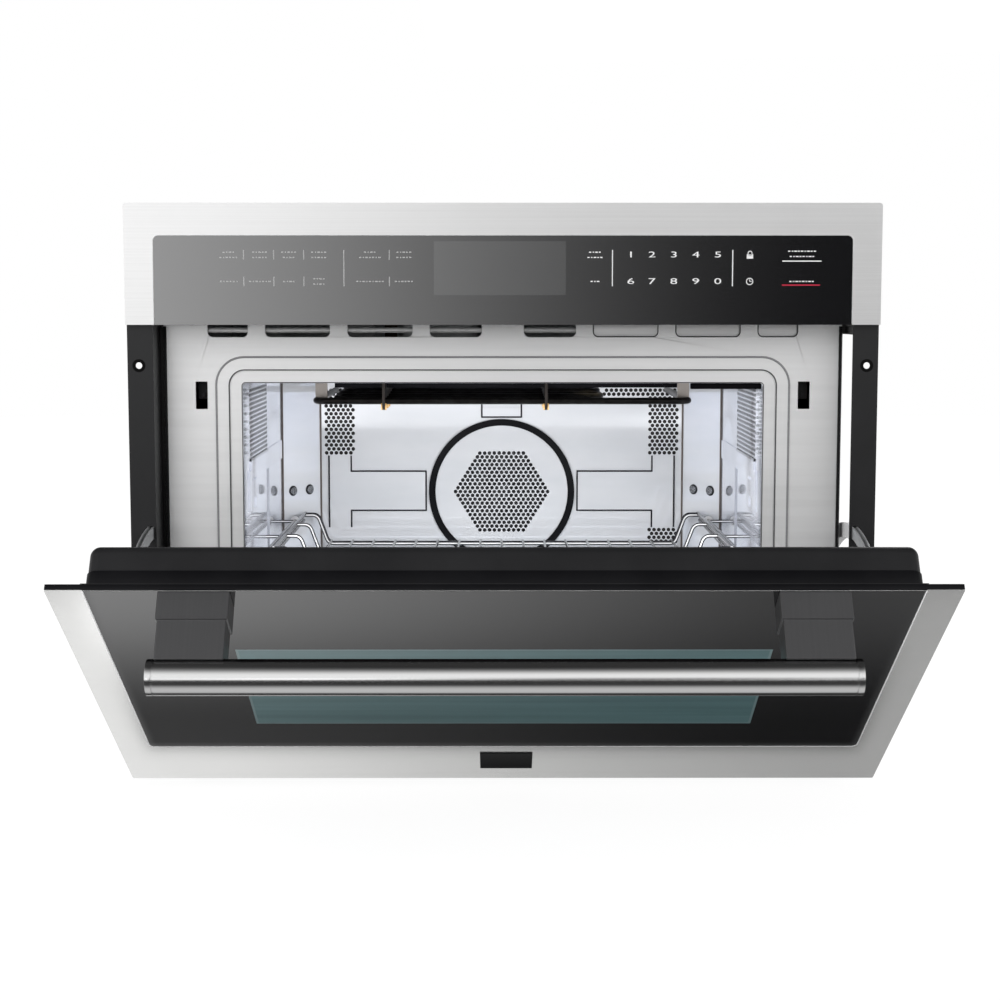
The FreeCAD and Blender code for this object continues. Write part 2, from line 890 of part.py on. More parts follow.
def rounded_tub(shrink, front):
    """A block from a front plane to the liner's face, rounded there and along its depth."""
    x = liner_half_width - shrink
    z = (door_bottom + liner_foot + shrink, door_top - liner_top_drop - shrink)
    back = liner_face - shrink
    body = block((-x, x), (front, back), z)
    picked = []
    for edge in body.Edges:
        box = edge.BoundBox
        at_face = box.YMin > back - running_clearance
        if at_face or box.YLength > liner_reach / 2:
            picked.append(edge)
    return body.makeFillet(liner_round - shrink, picked)


def door_liner():
    """The black tub behind the door panel, with slots for the hooks and hinge arms."""
    z = (door_bottom + liner_foot, door_top - liner_top_drop)
    inside = liner_half_width - liner_wall
    body = rounded_tub(0, panel_back).cut(rounded_tub(liner_wall, panel_back - cut_overrun))
    mouth = block((-liner_mouth_half, liner_mouth_half), (liner_face - liner_wall * 2, liner_face + cut_overrun),
                  (z[0] + liner_mouth_margin, z[1] - liner_mouth_margin))
    rim_x = liner_half_width + liner_flange
    rim = sheet("front", (panel_back, panel_back + liner_flange_sheet),
                rect((-rim_x, rim_x), (z[0] - liner_wall, z[1] + liner_wall)),
                [rect((-inside, inside), (z[0] + liner_wall, z[1] - liner_wall), liner_round - liner_wall)])
    body = joined([body.cut(mouth), rim])
    arm_x = (hinge_arm_inner - hinge_cheek_gap, hinge_arm_inner + hinge_arm_sheet + hinge_cheek_gap)
    hook_x = (latch_plate_inner - latch_slot_margin, latch_plate_inner + latch_plate + latch_slot_margin)
    hook_z = (latch_rod_height - latch_swing_room, latch_rod_height + latch_swing_room)
    arm_slot = block(arm_x, (panel_back - cut_overrun, panel_back + hinge_arm_foot_depth + hinge_cheek_gap),
                     (z[0] - cut_overrun * 2, z[0] + liner_wall + cut_overrun))
    hook_slot = block(hook_x, (liner_face - liner_wall - cut_overrun, liner_face + cut_overrun), hook_z)
    body = body.cut(arm_slot).cut(mirrored(arm_slot)).cut(hook_slot).cut(mirrored(hook_slot))
    return joined([body] + latch_ears())


def latch_ears():
    """Bearings for the hooks' rod, on the inside of the liner's face."""
    start = latch_plate_inner + latch_plate + latch_slot_margin + latch_ear_gap
    x = (start, start + latch_ear)
    y = (front_y + latch_rod_depth - latch_rod_radius * 2, liner_face - liner_wall)
    z = (latch_rod_height - latch_ear_half, latch_rod_height + latch_ear_half)
    centre = Vector(x[0] - cut_overrun, front_y + latch_rod_depth, latch_rod_height)
    bore = rod(centre, centre + Vector(latch_ear + cut_overrun * 2, 0, 0), latch_rod_radius + running_clearance)
    ear = block(x, y, z).cut(bore)
    return [ear, mirrored(ear)]


def choke_span():
    """Width and height of the plate behind the liner's mouth."""
    x = liner_mouth_half + choke_lap
    z = (door_bottom + liner_foot + liner_mouth_margin - choke_lap,
         door_top - liner_top_drop - liner_mouth_margin + choke_lap)
    return (-x, x), z


def door_choke_plate():
    """The microwave seal plate, with the window's opening."""
    back = liner_face - liner_wall
    window = rect((-window_half_width, window_half_width), (window_low, window_high), mouth_corner)
    return sheet("front", (back - choke_sheet, back), rect(*choke_span()), [window])


def door_inner_glass():
    back = liner_face - liner_wall - choke_sheet
    x = window_half_width + inner_glass_lap
    z = (window_low - inner_glass_lap, window_high + inner_glass_lap)
    return sheet("front", (back - glass_thickness, back), rect((-x, x), z))


def handle_line(x):
    """A point on the handle's centre line, door closed."""
    return Vector(x, front_y - handle_stand, door_top - handle_drop)


def handle_bar():
    """A steel tube with a cap let into each end."""
    outer = rod(handle_line(-handle_half_length), handle_line(handle_half_length), handle_radius)
    inner = rod(handle_line(-handle_half_length - cut_overrun), handle_line(handle_half_length + cut_overrun),
                handle_radius - handle_wall)
    start = handle_half_length - handle_cap
    cap = rod(handle_line(start), handle_line(handle_half_length), handle_radius - handle_wall)
    return Part.makeCompound([outer.cut(inner), cap, mirrored(cap)])


def handle_bracket():
    """Right-hand handle bracket: a base on the glass and a stepped arm to the bar."""
    z = (door_top - bracket_top_drop - bracket_height, door_top - bracket_top_drop)
    face = front_y + glass_recess
    base = block((bracket_inner, bracket_outer), (front_y - bracket_base_reach, face), z)
    arm = block((bracket_inner + bracket_step, bracket_outer - bracket_step),
                (front_y - bracket_reach, front_y - bracket_base_reach), (z[0] + bracket_step, z[1] - bracket_step))
    seat = rod(handle_line(0), handle_line(handle_half_length), handle_radius)
    return joined([base, arm]).cut(seat)


def latch_hooks():
    """Two hooks on one rod, door closed."""
    y = front_y + latch_rod_depth
    half = latch_plate_inner + latch_plate + latch_slot_margin + latch_ear_gap + latch_ear
    shaft = rod(Vector(-half, y, latch_rod_height), Vector(half, y, latch_rod_height), latch_rod_radius)
    low = latch_rod_height - latch_shank
    tip = y + latch_reach
    high = latch_rod_height + latch_shank
    tail = y - latch_tail
    neck = tip - latch_nose_length
    outline = [(tail, low), (neck, low), (neck, low - latch_nose_drop), (tip, low),
               (tip, latch_rod_height + latch_shank / 2), (neck, high), (tail, high)]
    hook = sheet("side", (latch_plate_inner, latch_plate_inner + latch_plate), poly(outline))
    return joined([shaft, hook, mirrored(hook)])


def switch_block():
    """Right-hand interlock switch on the back of the face plate, above the hook's path."""
    middle = latch_slot_inner + latch_slot_width / 2
    x = (middle - switch_width / 2, middle + switch_width / 2)
    y = (cavity_front + switch_gap, cavity_front + switch_gap + switch_length)
    z = (plunger_height - switch_rise, plunger_height - switch_rise + switch_height)
    body = block(x, y, z)
    top = z[1] + casing_sheet
    foot = block(x, (cavity_front, y[1]), (z[1], top))
    tab = block(x, (cavity_front, cavity_front + casing_sheet), (top, top + switch_tab))
    centre = Vector((x[0] + x[1]) / 2, y[0] - cut_overrun, plunger_height)
    end = centre + Vector(0, plunger_length + plunger_reach + cut_overrun, 0)
    bore = rod(centre, end, plunger_radius + running_clearance)
    return joined([body, foot, tab]).cut(bore)


def interlock_plunger():
    x = latch_slot_inner + latch_slot_width / 2
    start = Vector(x, cavity_front + switch_gap - plunger_reach, plunger_height)
    return rod(start, start + Vector(0, plunger_length, 0), plunger_radius)


def cavity_outline():
    """Outside of the cavity seen from above."""
    half = cavity_half_width + cavity_sheet
    lean = cavity_sheet * math.tan(math.radians(22.5))
    back = cavity_back + cavity_sheet
    right = [(half, cavity_front), (half, chamfer_start + lean), (cavity_flat + lean, back)]
    left = [(-x, y) for x, y in reversed(right)]
    return poly(right + left)


def cavity_ceiling():
    port = rect((port_left, port_left + port_width), port_span())
    z = (cavity_ceiling_height, cavity_ceiling_height + cavity_sheet)
    return sheet("flat", z, cavity_outline(), [port])


def cavity_floor():
    hole = disc(0, table_y, coupler_hole_radius)
    return sheet("flat", (cavity_floor_height - cavity_sheet, cavity_floor_height), cavity_outline(), [hole])


def side_pad_outline():
    """A waisted pressing near the mouth."""
    y = (front_y + pad_depth, front_y + pad_depth + pad_length)
    z = (fascia_bottom - pad_drop - pad_height, fascia_bottom - pad_drop)
    waist = pad_height * pad_waist_share / 2
    middle = (z[0] + z[1]) / 2
    near = y[0] + pad_length / 4
    far = y[1] - pad_length / 4
    return poly([(y[0], z[0]), (near, z[0]), (near, middle - waist), (far, middle - waist),
                 (far, z[0]), (y[1], z[0]), (y[1], z[1]), (far, z[1]),
                 (far, middle + waist), (near, middle + waist), (near, z[1]), (y[0], z[1])])


def cavity_side():
    """Right-hand cavity wall with its perforated patch and pressings."""
    holes = perforations(front_y + side_patch_depth, side_patch_low, side_patch_columns, side_patch_rows,
                         hole_pitch, hole_row_pitch)
    outline = rect((cavity_front, chamfer_start), (cavity_floor_height, cavity_ceiling_height))
    wall = sheet("side", (cavity_half_width, cavity_half_width + cavity_sheet), outline, holes)
    raised = (cavity_half_width - emboss_rise, cavity_half_width)
    low = cavity_floor_height + step_height
    top = fascia_bottom - rib_top_drop
    rib = block(raised, (front_y + rib_depth, front_y + rib_depth + rib_width), (low, top - step_height))
    ledge = block(raised, (front_y + side_patch_depth, chamfer_start - rib_width), (top - step_height, top))
    pad = sheet("side", raised, side_pad_outline())
    return joined([wall, rib, ledge, pad])


def corner_panel():
    """Right-hand 45 degree corner of the cavity."""
    lean = cavity_sheet * math.tan(math.radians(22.5))
    half = cavity_half_width
    outside = half + cavity_sheet
    back = cavity_back + cavity_sheet
    points = [(half, chamfer_start), (outside, chamfer_start), (outside, chamfer_start + lean),
              (cavity_flat + lean, back), (cavity_flat, back), (cavity_flat, cavity_back)]
    return sheet("flat", (cavity_floor_height, cavity_ceiling_height), poly(points))


def wing_outline():
    """Right-hand pressing: a band beside the fan cover and a column between the two patches."""
    top = fascia_bottom - wing_top_drop
    bottom = fascia_bottom - wing_bottom_drop
    high = fascia_bottom - rear_patch_drop - hole_radius - wing_margin
    low = fascia_bottom - low_patch_drop + hole_radius + wing_margin
    far = wing_outer + wing_column
    return poly([(wing_inner, bottom), (wing_outer, bottom), (wing_outer, low), (far, low),
                 (far, high), (wing_outer, high), (wing_outer, top), (wing_inner, top)])


def twin_patches(start, z, columns, rows):
    """The same field of holes right and left of the middle."""
    reach = (columns - 1) * hole_pitch
    left = -start - reach - hole_pitch / 2
    right_holes = perforations(start, z, columns, rows, hole_pitch, hole_row_pitch)
    return right_holes + perforations(left, z, columns, rows, hole_pitch, hole_row_pitch)


def cavity_rear():
    """Rear wall with the fan opening, perforated patches, pressings and corner panels."""
    holes = [disc(0, fan_height, fan_hole_radius)]
    patch_z = fascia_bottom - rear_patch_drop
    low_z = fascia_bottom - low_patch_drop
    holes += twin_patches(rear_patch_inner, patch_z, rear_patch_columns, rear_patch_rows)
    holes += perforations(rear_patch_inner, low_z, rear_patch_columns, low_patch_rows,
                          hole_pitch, -hole_row_pitch)
    band_start = rear_patch_inner + hole_pitch / 2 - (top_band_columns - rear_patch_columns) * hole_pitch
    band_z = patch_z + rear_patch_rows * hole_row_pitch
    holes += twin_patches(band_start, band_z, top_band_columns, top_band_rows)
    outline = rect((-cavity_flat, cavity_flat), (cavity_floor_height, cavity_ceiling_height))
    wall = sheet("front", (cavity_back, cavity_back + cavity_sheet), outline, holes)
    corner = corner_panel()
    raised = (cavity_back - emboss_rise, cavity_back)
    wing = sheet("front", raised, wing_outline())
    low = fascia_bottom - tab_drop
    tab = block((-tab_half_width, tab_half_width), raised, (low, low + tab_height))
    return joined([wall, corner, mirrored(corner), wing, mirrored(wing), tab])


def cavity_screws():
    """Pan-head screws on the corner panels."""
    heads = []
    z = fascia_bottom - screw_drop
    inward = Vector(-1, -1, 0).normalize()
    for share in screw_places_share:
        seat = Vector(cavity_half_width - cavity_chamfer * share, chamfer_start + cavity_chamfer * share, z)
        head = rod(seat, seat + inward * screw_head, screw_radius)
        heads += [head, mirrored(head)]
    return Part.makeCompound(heads)


def fan_ring():
    return sheet("front", (cavity_back - fan_ring_depth, cavity_back), disc(0, fan_height, fan_ring_outer),
                 [disc(0, fan_height, fan_ring_inner)])


def fan_cover():
    """A disc with a hexagonal field of holes."""
    holes = []
    for row in range(-fan_hex_rows, fan_hex_rows + 1):
        count = fan_hex_rows * 2 - abs(row)
        for column in range(count):
            x = (column - (count - 1) / 2) * hole_pitch
            holes.append(disc(x, fan_height + row * fan_hex_row_pitch, hole_radius))
    outline = disc(0, fan_height, fan_cover_radius)
    return sheet("front", (cavity_back - fan_cover_sheet, cavity_back), outline, holes)


def on_fan_axis(depth):
    """A point on the convection fan's axis, at a depth behind the cavity's rear wall."""
    return Vector(0, cavity_back + cavity_sheet + depth, fan_height)


def fan_plenum():
    """A pan behind the rear wall, round the fan and its heater."""
    outer = rod(on_fan_axis(0), on_fan_axis(plenum_depth), plenum_radius)
    room = rod(on_fan_axis(-cut_overrun), on_fan_axis(plenum_depth - plenum_sheet), plenum_radius - plenum_sheet)
    flange = rod(on_fan_axis(0), on_fan_axis(plenum_sheet), plenum_radius + plenum_flange)
    hole = rod(on_fan_axis(0), on_fan_axis(plenum_depth + cut_overrun), plenum_shaft_hole)
    return joined([outer, flange]).cut(room).cut(hole)


def ring_heater():
    """A round element with two cold ends through the pan."""
    ring = Part.makeTorus(heater_ring_radius, heater_tube_radius, on_fan_axis(heater_setback), Vector(0, 1, 0))
    ends = []
    for side in (-1, 1):
        foot = on_fan_axis(heater_setback) + Vector(side * heater_tube_radius * 3, 0, -heater_ring_radius)
        end = foot + Vector(0, plenum_depth - plenum_sheet - heater_setback, 0)
        ends.append(rod(foot, end, heater_tube_radius))
    return joined([ring] + ends)


def bladed_wheel(radius, width, plate, blades, hub_radius, shaft_radius, shaft_length):
    """A fan wheel about +Z from the origin: back plate, radial blades, hub and shaft."""
    parts = [Part.makeCylinder(radius, plate), Part.makeCylinder(hub_radius, width)]
    inner = hub_radius - plate
    for index in range(blades):
        blade = block((inner, radius), (-plate / 2, plate / 2), (0, width))
        blade.rotate(Vector(0, 0, 0), Vector(0, 0, 1), index * 360 / blades)
        parts.append(blade)
    parts.append(Part.makeCylinder(shaft_radius, shaft_length, Vector(0, 0, -shaft_length)))
    return joined(parts)


def convection_fan():
    """The fan faces the cavity and its shaft runs back into the motor."""
    shaft = plenum_depth + motor_gap + motor_length / 2 - impeller_setback - impeller_width
    wheel = bladed_wheel(impeller_radius, impeller_width, impeller_disc, impeller_blades, impeller_hub_radius,
                         impeller_shaft_radius, shaft)
    wheel.rotate(Vector(0, 0, 0), Vector(1, 0, 0), 90)
    wheel.translate(on_fan_axis(impeller_setback + impeller_width))
    return wheel


def convection_motor():
    """A round motor on three feet behind the pan."""
    start = plenum_depth + motor_gap
    body = rod(on_fan_axis(start), on_fan_axis(start + motor_length), motor_radius)
    parts = [body]
    for index in range(3):
        angle = math.radians(90 + index * 120)
        offset = Vector(math.cos(angle), 0, math.sin(angle)) * motor_foot_circle
        parts.append(rod(on_fan_axis(plenum_depth) + offset, on_fan_axis(start) + offset, motor_foot_radius))
    end = on_fan_axis(start + motor_length / 2 + motor_gap)
    bore = rod(on_fan_axis(0), end, impeller_shaft_radius + running_clearance)
    return joined(parts).cut(bore)


def grill_height(depth):
    """Height of the inner grill loops, which rise towards the rear."""
    last = grill_first_depth + grill_pitch * (grill_passes - 1)
    share = (depth - grill_first_depth) / (last - grill_first_depth)
    return fascia_bottom - element_drop + grill_rise * share


def grill_points():
    """The inner loops: passes from side to side, then a tail to the rear wall."""
    points = []
    for index in range(grill_passes):
        depth = grill_first_depth + grill_pitch * index
        ends = (grill_right, grill_left) if index % 2 == 0 else (grill_left, grill_right)
        if index == 0:
            ends = (grill_right - element_corner, grill_left)
        if index == grill_passes - 1:
            ends = (ends[0], grill_tail)
        for x in ends:
            points.append(Vector(x, front_y + depth, grill_height(depth)))
    last = points[-1]
    points.append(Vector(last.x, cavity_back, last.z))
    return points


def outer_points():
    """The outer loop: from the rear wall, along the front and back again."""
    z = fascia_bottom - element_drop
    y = front_y + element_front_depth
    x = element_half_width
    return [Vector(-x, cavity_back, z), Vector(-x, y, z), Vector(x, y, z), Vector(x, cavity_back, z)]


def element_tubes(radius):
    return [tube(outer_points(), element_corner, radius), tube(grill_points(), element_corner, radius)]


def broil_element():
    return Part.makeCompound(element_tubes(element_radius))


def element_clips():
    """Hangers under the ceiling: two combs with beads and two end straps."""
    tubes = element_tubes(element_radius + seat_clearance)
    z = (fascia_bottom - element_drop - element_radius - clip_hang, cavity_ceiling_height)
    last = front_y + grill_first_depth + grill_pitch * (grill_passes - 1) + element_radius + clip_hang
    shapes = []
    for x in clip_positions:
        y = (front_y + element_front_depth - element_radius - clip_hang, last)
        comb = block((x - clip_sheet / 2, x + clip_sheet / 2), y, z)
        beads = []
        for depth in (element_front_depth, grill_first_depth, grill_first_depth + grill_pitch):
            centre = Vector(x - bead_length / 2, front_y + depth, z[0] + bead_radius / 2)
            beads.append(rod(centre, centre + Vector(bead_length, 0, 0), bead_radius))
        shapes.append(joined([comb] + beads))
    inner = element_half_width + element_radius - end_clip_inset - end_clip_width
    strap = block((inner, inner + end_clip_width),
                  (front_y + end_clip_depth, front_y + end_clip_depth + end_clip_sheet),
                  (fascia_bottom - element_drop, cavity_ceiling_height))
    shapes += [strap, mirrored(strap)]
    clips = []
    for shape in shapes:
        for solid in tubes:
            shape = shape.cut(solid)
        clips += shape.Solids
    return Part.makeCompound(clips)


def rack_bar(depth, radius):
    """A cross bar: out on the side rails, dropping to the deck between them."""
    y = front_y + depth
    rail = fascia_bottom - rack_rail_drop
    deck = fascia_bottom - rack_deck_drop
    xs = ((-rack_half_width, rail), (-rack_shoulder, rail), (-rack_dip, deck), (rack_dip, deck),
          (rack_shoulder, rail), (rack_half_width, rail))
    return tube([Vector(x, y, z) for x, z in xs], rack_corner, radius)


def wire_rack():
    """A welded chrome rack with a sunk deck."""
    rail = fascia_bottom - rack_rail_drop
    deck = fascia_bottom - rack_deck_drop
    y = (front_y + rack_front_depth, front_y + rack_back_depth)
    parts = []
    for x in (-rack_half_width, rack_half_width):
        parts.append(rod(Vector(x, y[0], rail), Vector(x, y[1], rail), rack_rail_radius))
    first = rack_front_depth + rack_bar_inset
    last = rack_back_depth - rack_bar_inset
    depths = [first, last, last - rack_bar_gap]
    for index in range(rack_mid_bars):
        depths.append(first + (last - first) * (index + 1) / (rack_mid_bars + 1))
    parts += [rack_bar(depth, rack_bar_radius) for depth in depths]
    for index in range(rack_wires):
        x = (index - (rack_wires - 1) / 2) * rack_wire_pitch
        z = deck + rack_bar_radius
        parts.append(rod(Vector(x, front_y + first, z), Vector(x, front_y + last, z), rack_wire_radius))
    return joined(parts)


def rack_support():
    """Right-hand support: a runner wire on posts from the wall, with a plug at its rear end."""
    z = fascia_bottom - rack_rail_drop - rack_rail_radius - support_radius - seat_clearance
    y = (front_y + support_front_depth, front_y + support_back_depth)
    runner_x = rack_half_width
    runner = rod(Vector(runner_x, y[0], z), Vector(runner_x, y[1], z), support_radius)
    guard = rod(Vector(support_half_width, y[0], z), Vector(support_half_width, y[1], z), support_radius)
    parts = [runner, guard]
    for index in range(support_posts):
        post_y = y[0] + support_post_inset + (y[1] - y[0] - support_post_inset * 2) * index / (support_posts - 1)
        start = Vector(runner_x - support_radius / 2, post_y, z)
        parts.append(rod(start, Vector(cavity_half_width, post_y, z), support_post_radius))
    plug_y = y[1] - support_plug_length
    plug = (Vector(support_half_width, plug_y, z), Vector(support_half_width, y[1], z))
    parts.append(rod(*plug, support_plug_radius))
    return joined(parts)


def on_table_axis(height):
    """A point on the turntable's axis, above the cavity floor."""
    return Vector(0, table_y, cavity_floor_height + height)


def table_underside():
    """Height of the glass above the cavity floor."""
    return roller_radius * 2 + seat_clearance * 2


def turntable_glass_shape():
    """A shallow glass dish."""
    low = table_underside()
    r = turntable_radius
    rim = low + turntable_rim
    points = [(0, low), (r - turntable_lip, low), (r, rim), (r, rim + turntable_glass),
              (r - turntable_glass, rim + turntable_glass),
              (r - turntable_lip - turntable_glass / 2, low + turntable_glass), (0, low + turntable_glass)]
    corners = [on_table_axis(z) + Vector(x, 0, 0) for x, z in points]
    face = Part.Face(Part.makePolygon(corners + corners[:1]))
    return face.revolve(on_table_axis(0), Vector(0, 0, 1), 360)


def turntable_coupler():
    """A lobed head under the glass on the motor's shaft."""
    top = table_underside()
    parts = [rod(on_table_axis(top - coupler_height), on_table_axis(top), coupler_radius / 2)]
    for index in range(coupler_lobes):
        angle = math.radians(index * 360 / coupler_lobes)
        offset = Vector(math.cos(angle), math.sin(angle), 0) * (coupler_radius / 2)
        foot = on_table_axis(top - coupler_height) + offset
        parts.append(rod(foot, on_table_axis(top) + offset, coupler_radius / 2))
    shaft_foot = -cavity_sheet - table_motor_height / 2
    parts.append(rod(on_table_axis(shaft_foot), on_table_axis(top), coupler_shaft_radius))
    return joined(parts)


def roller_ring():
    """A wire ring with three rollers between the floor and the glass."""
    centre = on_table_axis(roller_radius + seat_clearance)
    parts = [Part.makeTorus(roller_ring_radius, roller_wire_radius, centre, Vector(0, 0, 1))]
    for index in range(roller_count):
        angle = math.radians(index * 360 / roller_count)
        radial = Vector(math.cos(angle), math.sin(angle), 0)
        start = centre + radial * (roller_ring_radius - roller_width / 2)
        parts.append(rod(start, start + radial * roller_width, roller_radius))
    return joined(parts)


def turntable_motor():
    """A flat motor under the floor, with a fixing lug each side."""
    top = -cavity_sheet
    body = rod(on_table_axis(top - table_motor_height), on_table_axis(top), table_motor_radius)
    top_z = cavity_floor_height + top
    lug = block((-table_motor_lug, table_motor_lug), (table_y - coupler_radius, table_y + coupler_radius),
                (top_z - table_motor_lug_sheet, top_z))
    bore = rod(on_table_axis(top - table_motor_height / 2 - running_clearance), on_table_axis(cut_overrun),
               coupler_shaft_radius + running_clearance)
    return joined([body, lug]).cut(bore)


def port_span():
    """Front and rear of the waveguide port in the ceiling."""
    return front_y + port_depth, front_y + port_depth + port_length


def waveguide_cover():
    y = port_span()
    outline = rect((port_left - cover_margin, port_left + port_width + cover_margin),
                   (y[0] - cover_margin, y[1] + cover_margin), cover_margin / 2)
    return sheet("flat", (cavity_ceiling_height - cover_sheet, cavity_ceiling_height), outline)


def duct_outside(clearance):
    """Plan of the waveguide, grown by a clearance."""
    y = port_span()
    grow = duct_sheet + clearance
    return (port_left - grow, port_left + port_width + grow), (y[0] - grow, y[1] + grow)


def duct_top():
    return cavity_ceiling_height + cavity_sheet + duct_height


def antenna_place(height):
    y = port_span()
    return Vector(port_left + port_width / 2, (y[0] + y[1]) / 2, height)


def waveguide():
    """A closed duct on the cavity's ceiling, with a hole for the aerial."""
    floor = cavity_ceiling_height + cavity_sheet
    body = block(*duct_outside(0), (floor, duct_top()))
    room = block((port_left, port_left + port_width), port_span(), (floor - cut_overrun, duct_top() - duct_sheet))
    hole = rod(antenna_place(floor), antenna_place(duct_top() + cut_overrun), antenna_radius + seat_clearance)
    return body.cut(room).cut(hole)


def magnetron():
    """A finned anode block on the waveguide with its aerial below and filter box above."""
    low = duct_top()
    centre = antenna_place(low)
    half_x, half_y = magnetron_width / 2, magnetron_length / 2
    x = (centre.x - half_x, centre.x + half_x)
    y = (centre.y - half_y, centre.y + half_y)
    pitch = magnetron_height / magnetron_fins
    parts = [rod(antenna_place(low - antenna_drop), centre, antenna_radius),
             rod(centre, antenna_place(low + magnetron_height), magnetron_core)]
    for index in range(magnetron_fins):
        base = low + index * pitch
        parts.append(block(x, y, (base, base + pitch * (1 - magnetron_fin_gap_share))))
    cap_low = low + magnetron_height
    parts.append(block(x, y, (cap_low - magnetron_cap / 2, cap_low + magnetron_cap)))
    return joined(parts)


def component_deck():
    """A shelf across the casing above the cavity."""
    inside = half_casing - casing_sheet
    opening = rect(*duct_outside(blanket_gap))
    outline = rect((-inside, inside), (cavity_front, rear_y - casing_sheet))
    return sheet("flat", (deck_height, deck_top), outline, [opening])


def transformer():
    """A laminated core with a wider winding round its middle."""
    x = (transformer_right - transformer_width, transformer_right)
    y = (front_y + transformer_depth, front_y + transformer_depth + transformer_length)
    core = block(x, y, (deck_top, deck_top + transformer_height))
    band = transformer_height * transformer_coil_share / 2
    middle = deck_top + transformer_height / 2
    grow = transformer_coil_grow
    coil = block((x[0] + grow, x[1] - grow), (y[0] - grow, y[1] + grow), (middle - band, middle + band))
    return joined([core, coil])


def capacitor():
    x = (capacitor_right - capacitor_width, capacitor_right)
    y = (front_y + capacitor_depth, front_y + capacitor_depth + capacitor_length)
    body = sheet("flat", (deck_top, deck_top + capacitor_height), rect(x, y, capacitor_corner))
    parts = [body]
    for terminal_x in (x[0] + capacitor_width / 3, x[1] - capacitor_width / 3):
        foot = Vector(terminal_x, (y[0] + y[1]) / 2, deck_top + capacitor_height)
        parts.append(rod(foot, foot + Vector(0, 0, terminal_height), terminal_radius))
    return joined(parts)


def on_blower_axis(x):
    return Vector(x, front_y + blower_depth + blower_side / 2, deck_top + blower_side / 2)


def blower_housing():
    """A scroll case on the deck, open at its inlet and towards the front."""
    x = (blower_left, blower_left + blower_width)
    y = (front_y + blower_depth, front_y + blower_depth + blower_side)
    z = (deck_top, deck_top + blower_side)
    body = block(x, y, z)
    room_end = on_blower_axis(x[1] - blower_wall)
    room = rod(on_blower_axis(x[0] + blower_wall), room_end, blower_side / 2 - blower_wall)
    outlet = block((x[0] + blower_wall, x[1] - blower_wall), (y[0] - cut_overrun, y[0] + blower_side / 2),
                   (z[0] + blower_side / 2, z[1] - blower_wall))
    inlet = rod(on_blower_axis(x[0] - cut_overrun), on_blower_axis(x[0] + blower_wall), blower_inlet_radius)
    hole_end = on_blower_axis(x[1] + cut_overrun)
    shaft_hole = rod(on_blower_axis(x[1] - blower_wall), hole_end, wheel_shaft_radius * 2)
    return body.cut(room).cut(outlet).cut(inlet).cut(shaft_hole)


def blower_wheel():
    side_gap = (blower_width - blower_wall * 2 - wheel_width) / 2
    plate_x = blower_left + blower_width - blower_wall - side_gap
    shaft = side_gap + blower_wall + blower_motor_gap + blower_motor_length / 2
    wheel = bladed_wheel(wheel_radius, wheel_width, wheel_disc, wheel_blades,
                         wheel_hub_radius, wheel_shaft_radius, shaft)
    wheel.rotate(Vector(0, 0, 0), Vector(0, 1, 0), -90)
    wheel.translate(on_blower_axis(plate_x))
    return wheel


def blower_motor():
    """A motor beside the scroll case, on a foot to the deck."""
    start = blower_left + blower_width + blower_motor_gap
    end = start + blower_motor_length
    body = rod(on_blower_axis(start), on_blower_axis(end), blower_motor_radius)
    flange = rod(on_blower_axis(blower_left + blower_width), on_blower_axis(start), blower_motor_radius)
    axis = on_blower_axis(start)
    half = blower_motor_radius / 2
    foot = block((start, end), (axis.y - half, axis.y + half), (deck_top, axis.z))
    bore_end = start + blower_motor_length / 2 + running_clearance
    bore = rod(on_blower_axis(start - blower_motor_gap), on_blower_axis(bore_end),
               wheel_shaft_radius + running_clearance)
    recess = rod(on_blower_axis(start - blower_motor_gap), on_blower_axis(start), wheel_shaft_radius * 2)
    return joined([body, flange, foot]).cut(recess).cut(bore)


def cavity_lamp():
    """A bulb in its holder on a plate outside the left wall."""
    wall = -cavity_half_width - cavity_sheet
    y = front_y + lamp_depth
    plate_x = wall - lamp_length - lamp_plate_sheet
    plate = block((plate_x, plate_x + lamp_plate_sheet), (y - lamp_plate_half, y + lamp_plate_half),
                  (lamp_height - lamp_plate_half, lamp_height + lamp_plate_half))
    rim = block((plate_x, wall), (y - lamp_plate_half, y - lamp_plate_half + lamp_plate_sheet),
                (lamp_height - lamp_plate_half, lamp_height + lamp_plate_half))
    bulb = rod(Vector(plate_x, y, lamp_height), Vector(wall - lamp_radius / 3, y, lamp_height), lamp_radius)
    socket_x = (plate_x - lamp_socket_length, plate_x)
    half = lamp_socket / 2
    socket = block(socket_x, (y - half, y + half), (lamp_height - half, lamp_height + half))
    return joined([plate, rim, bulb, socket])


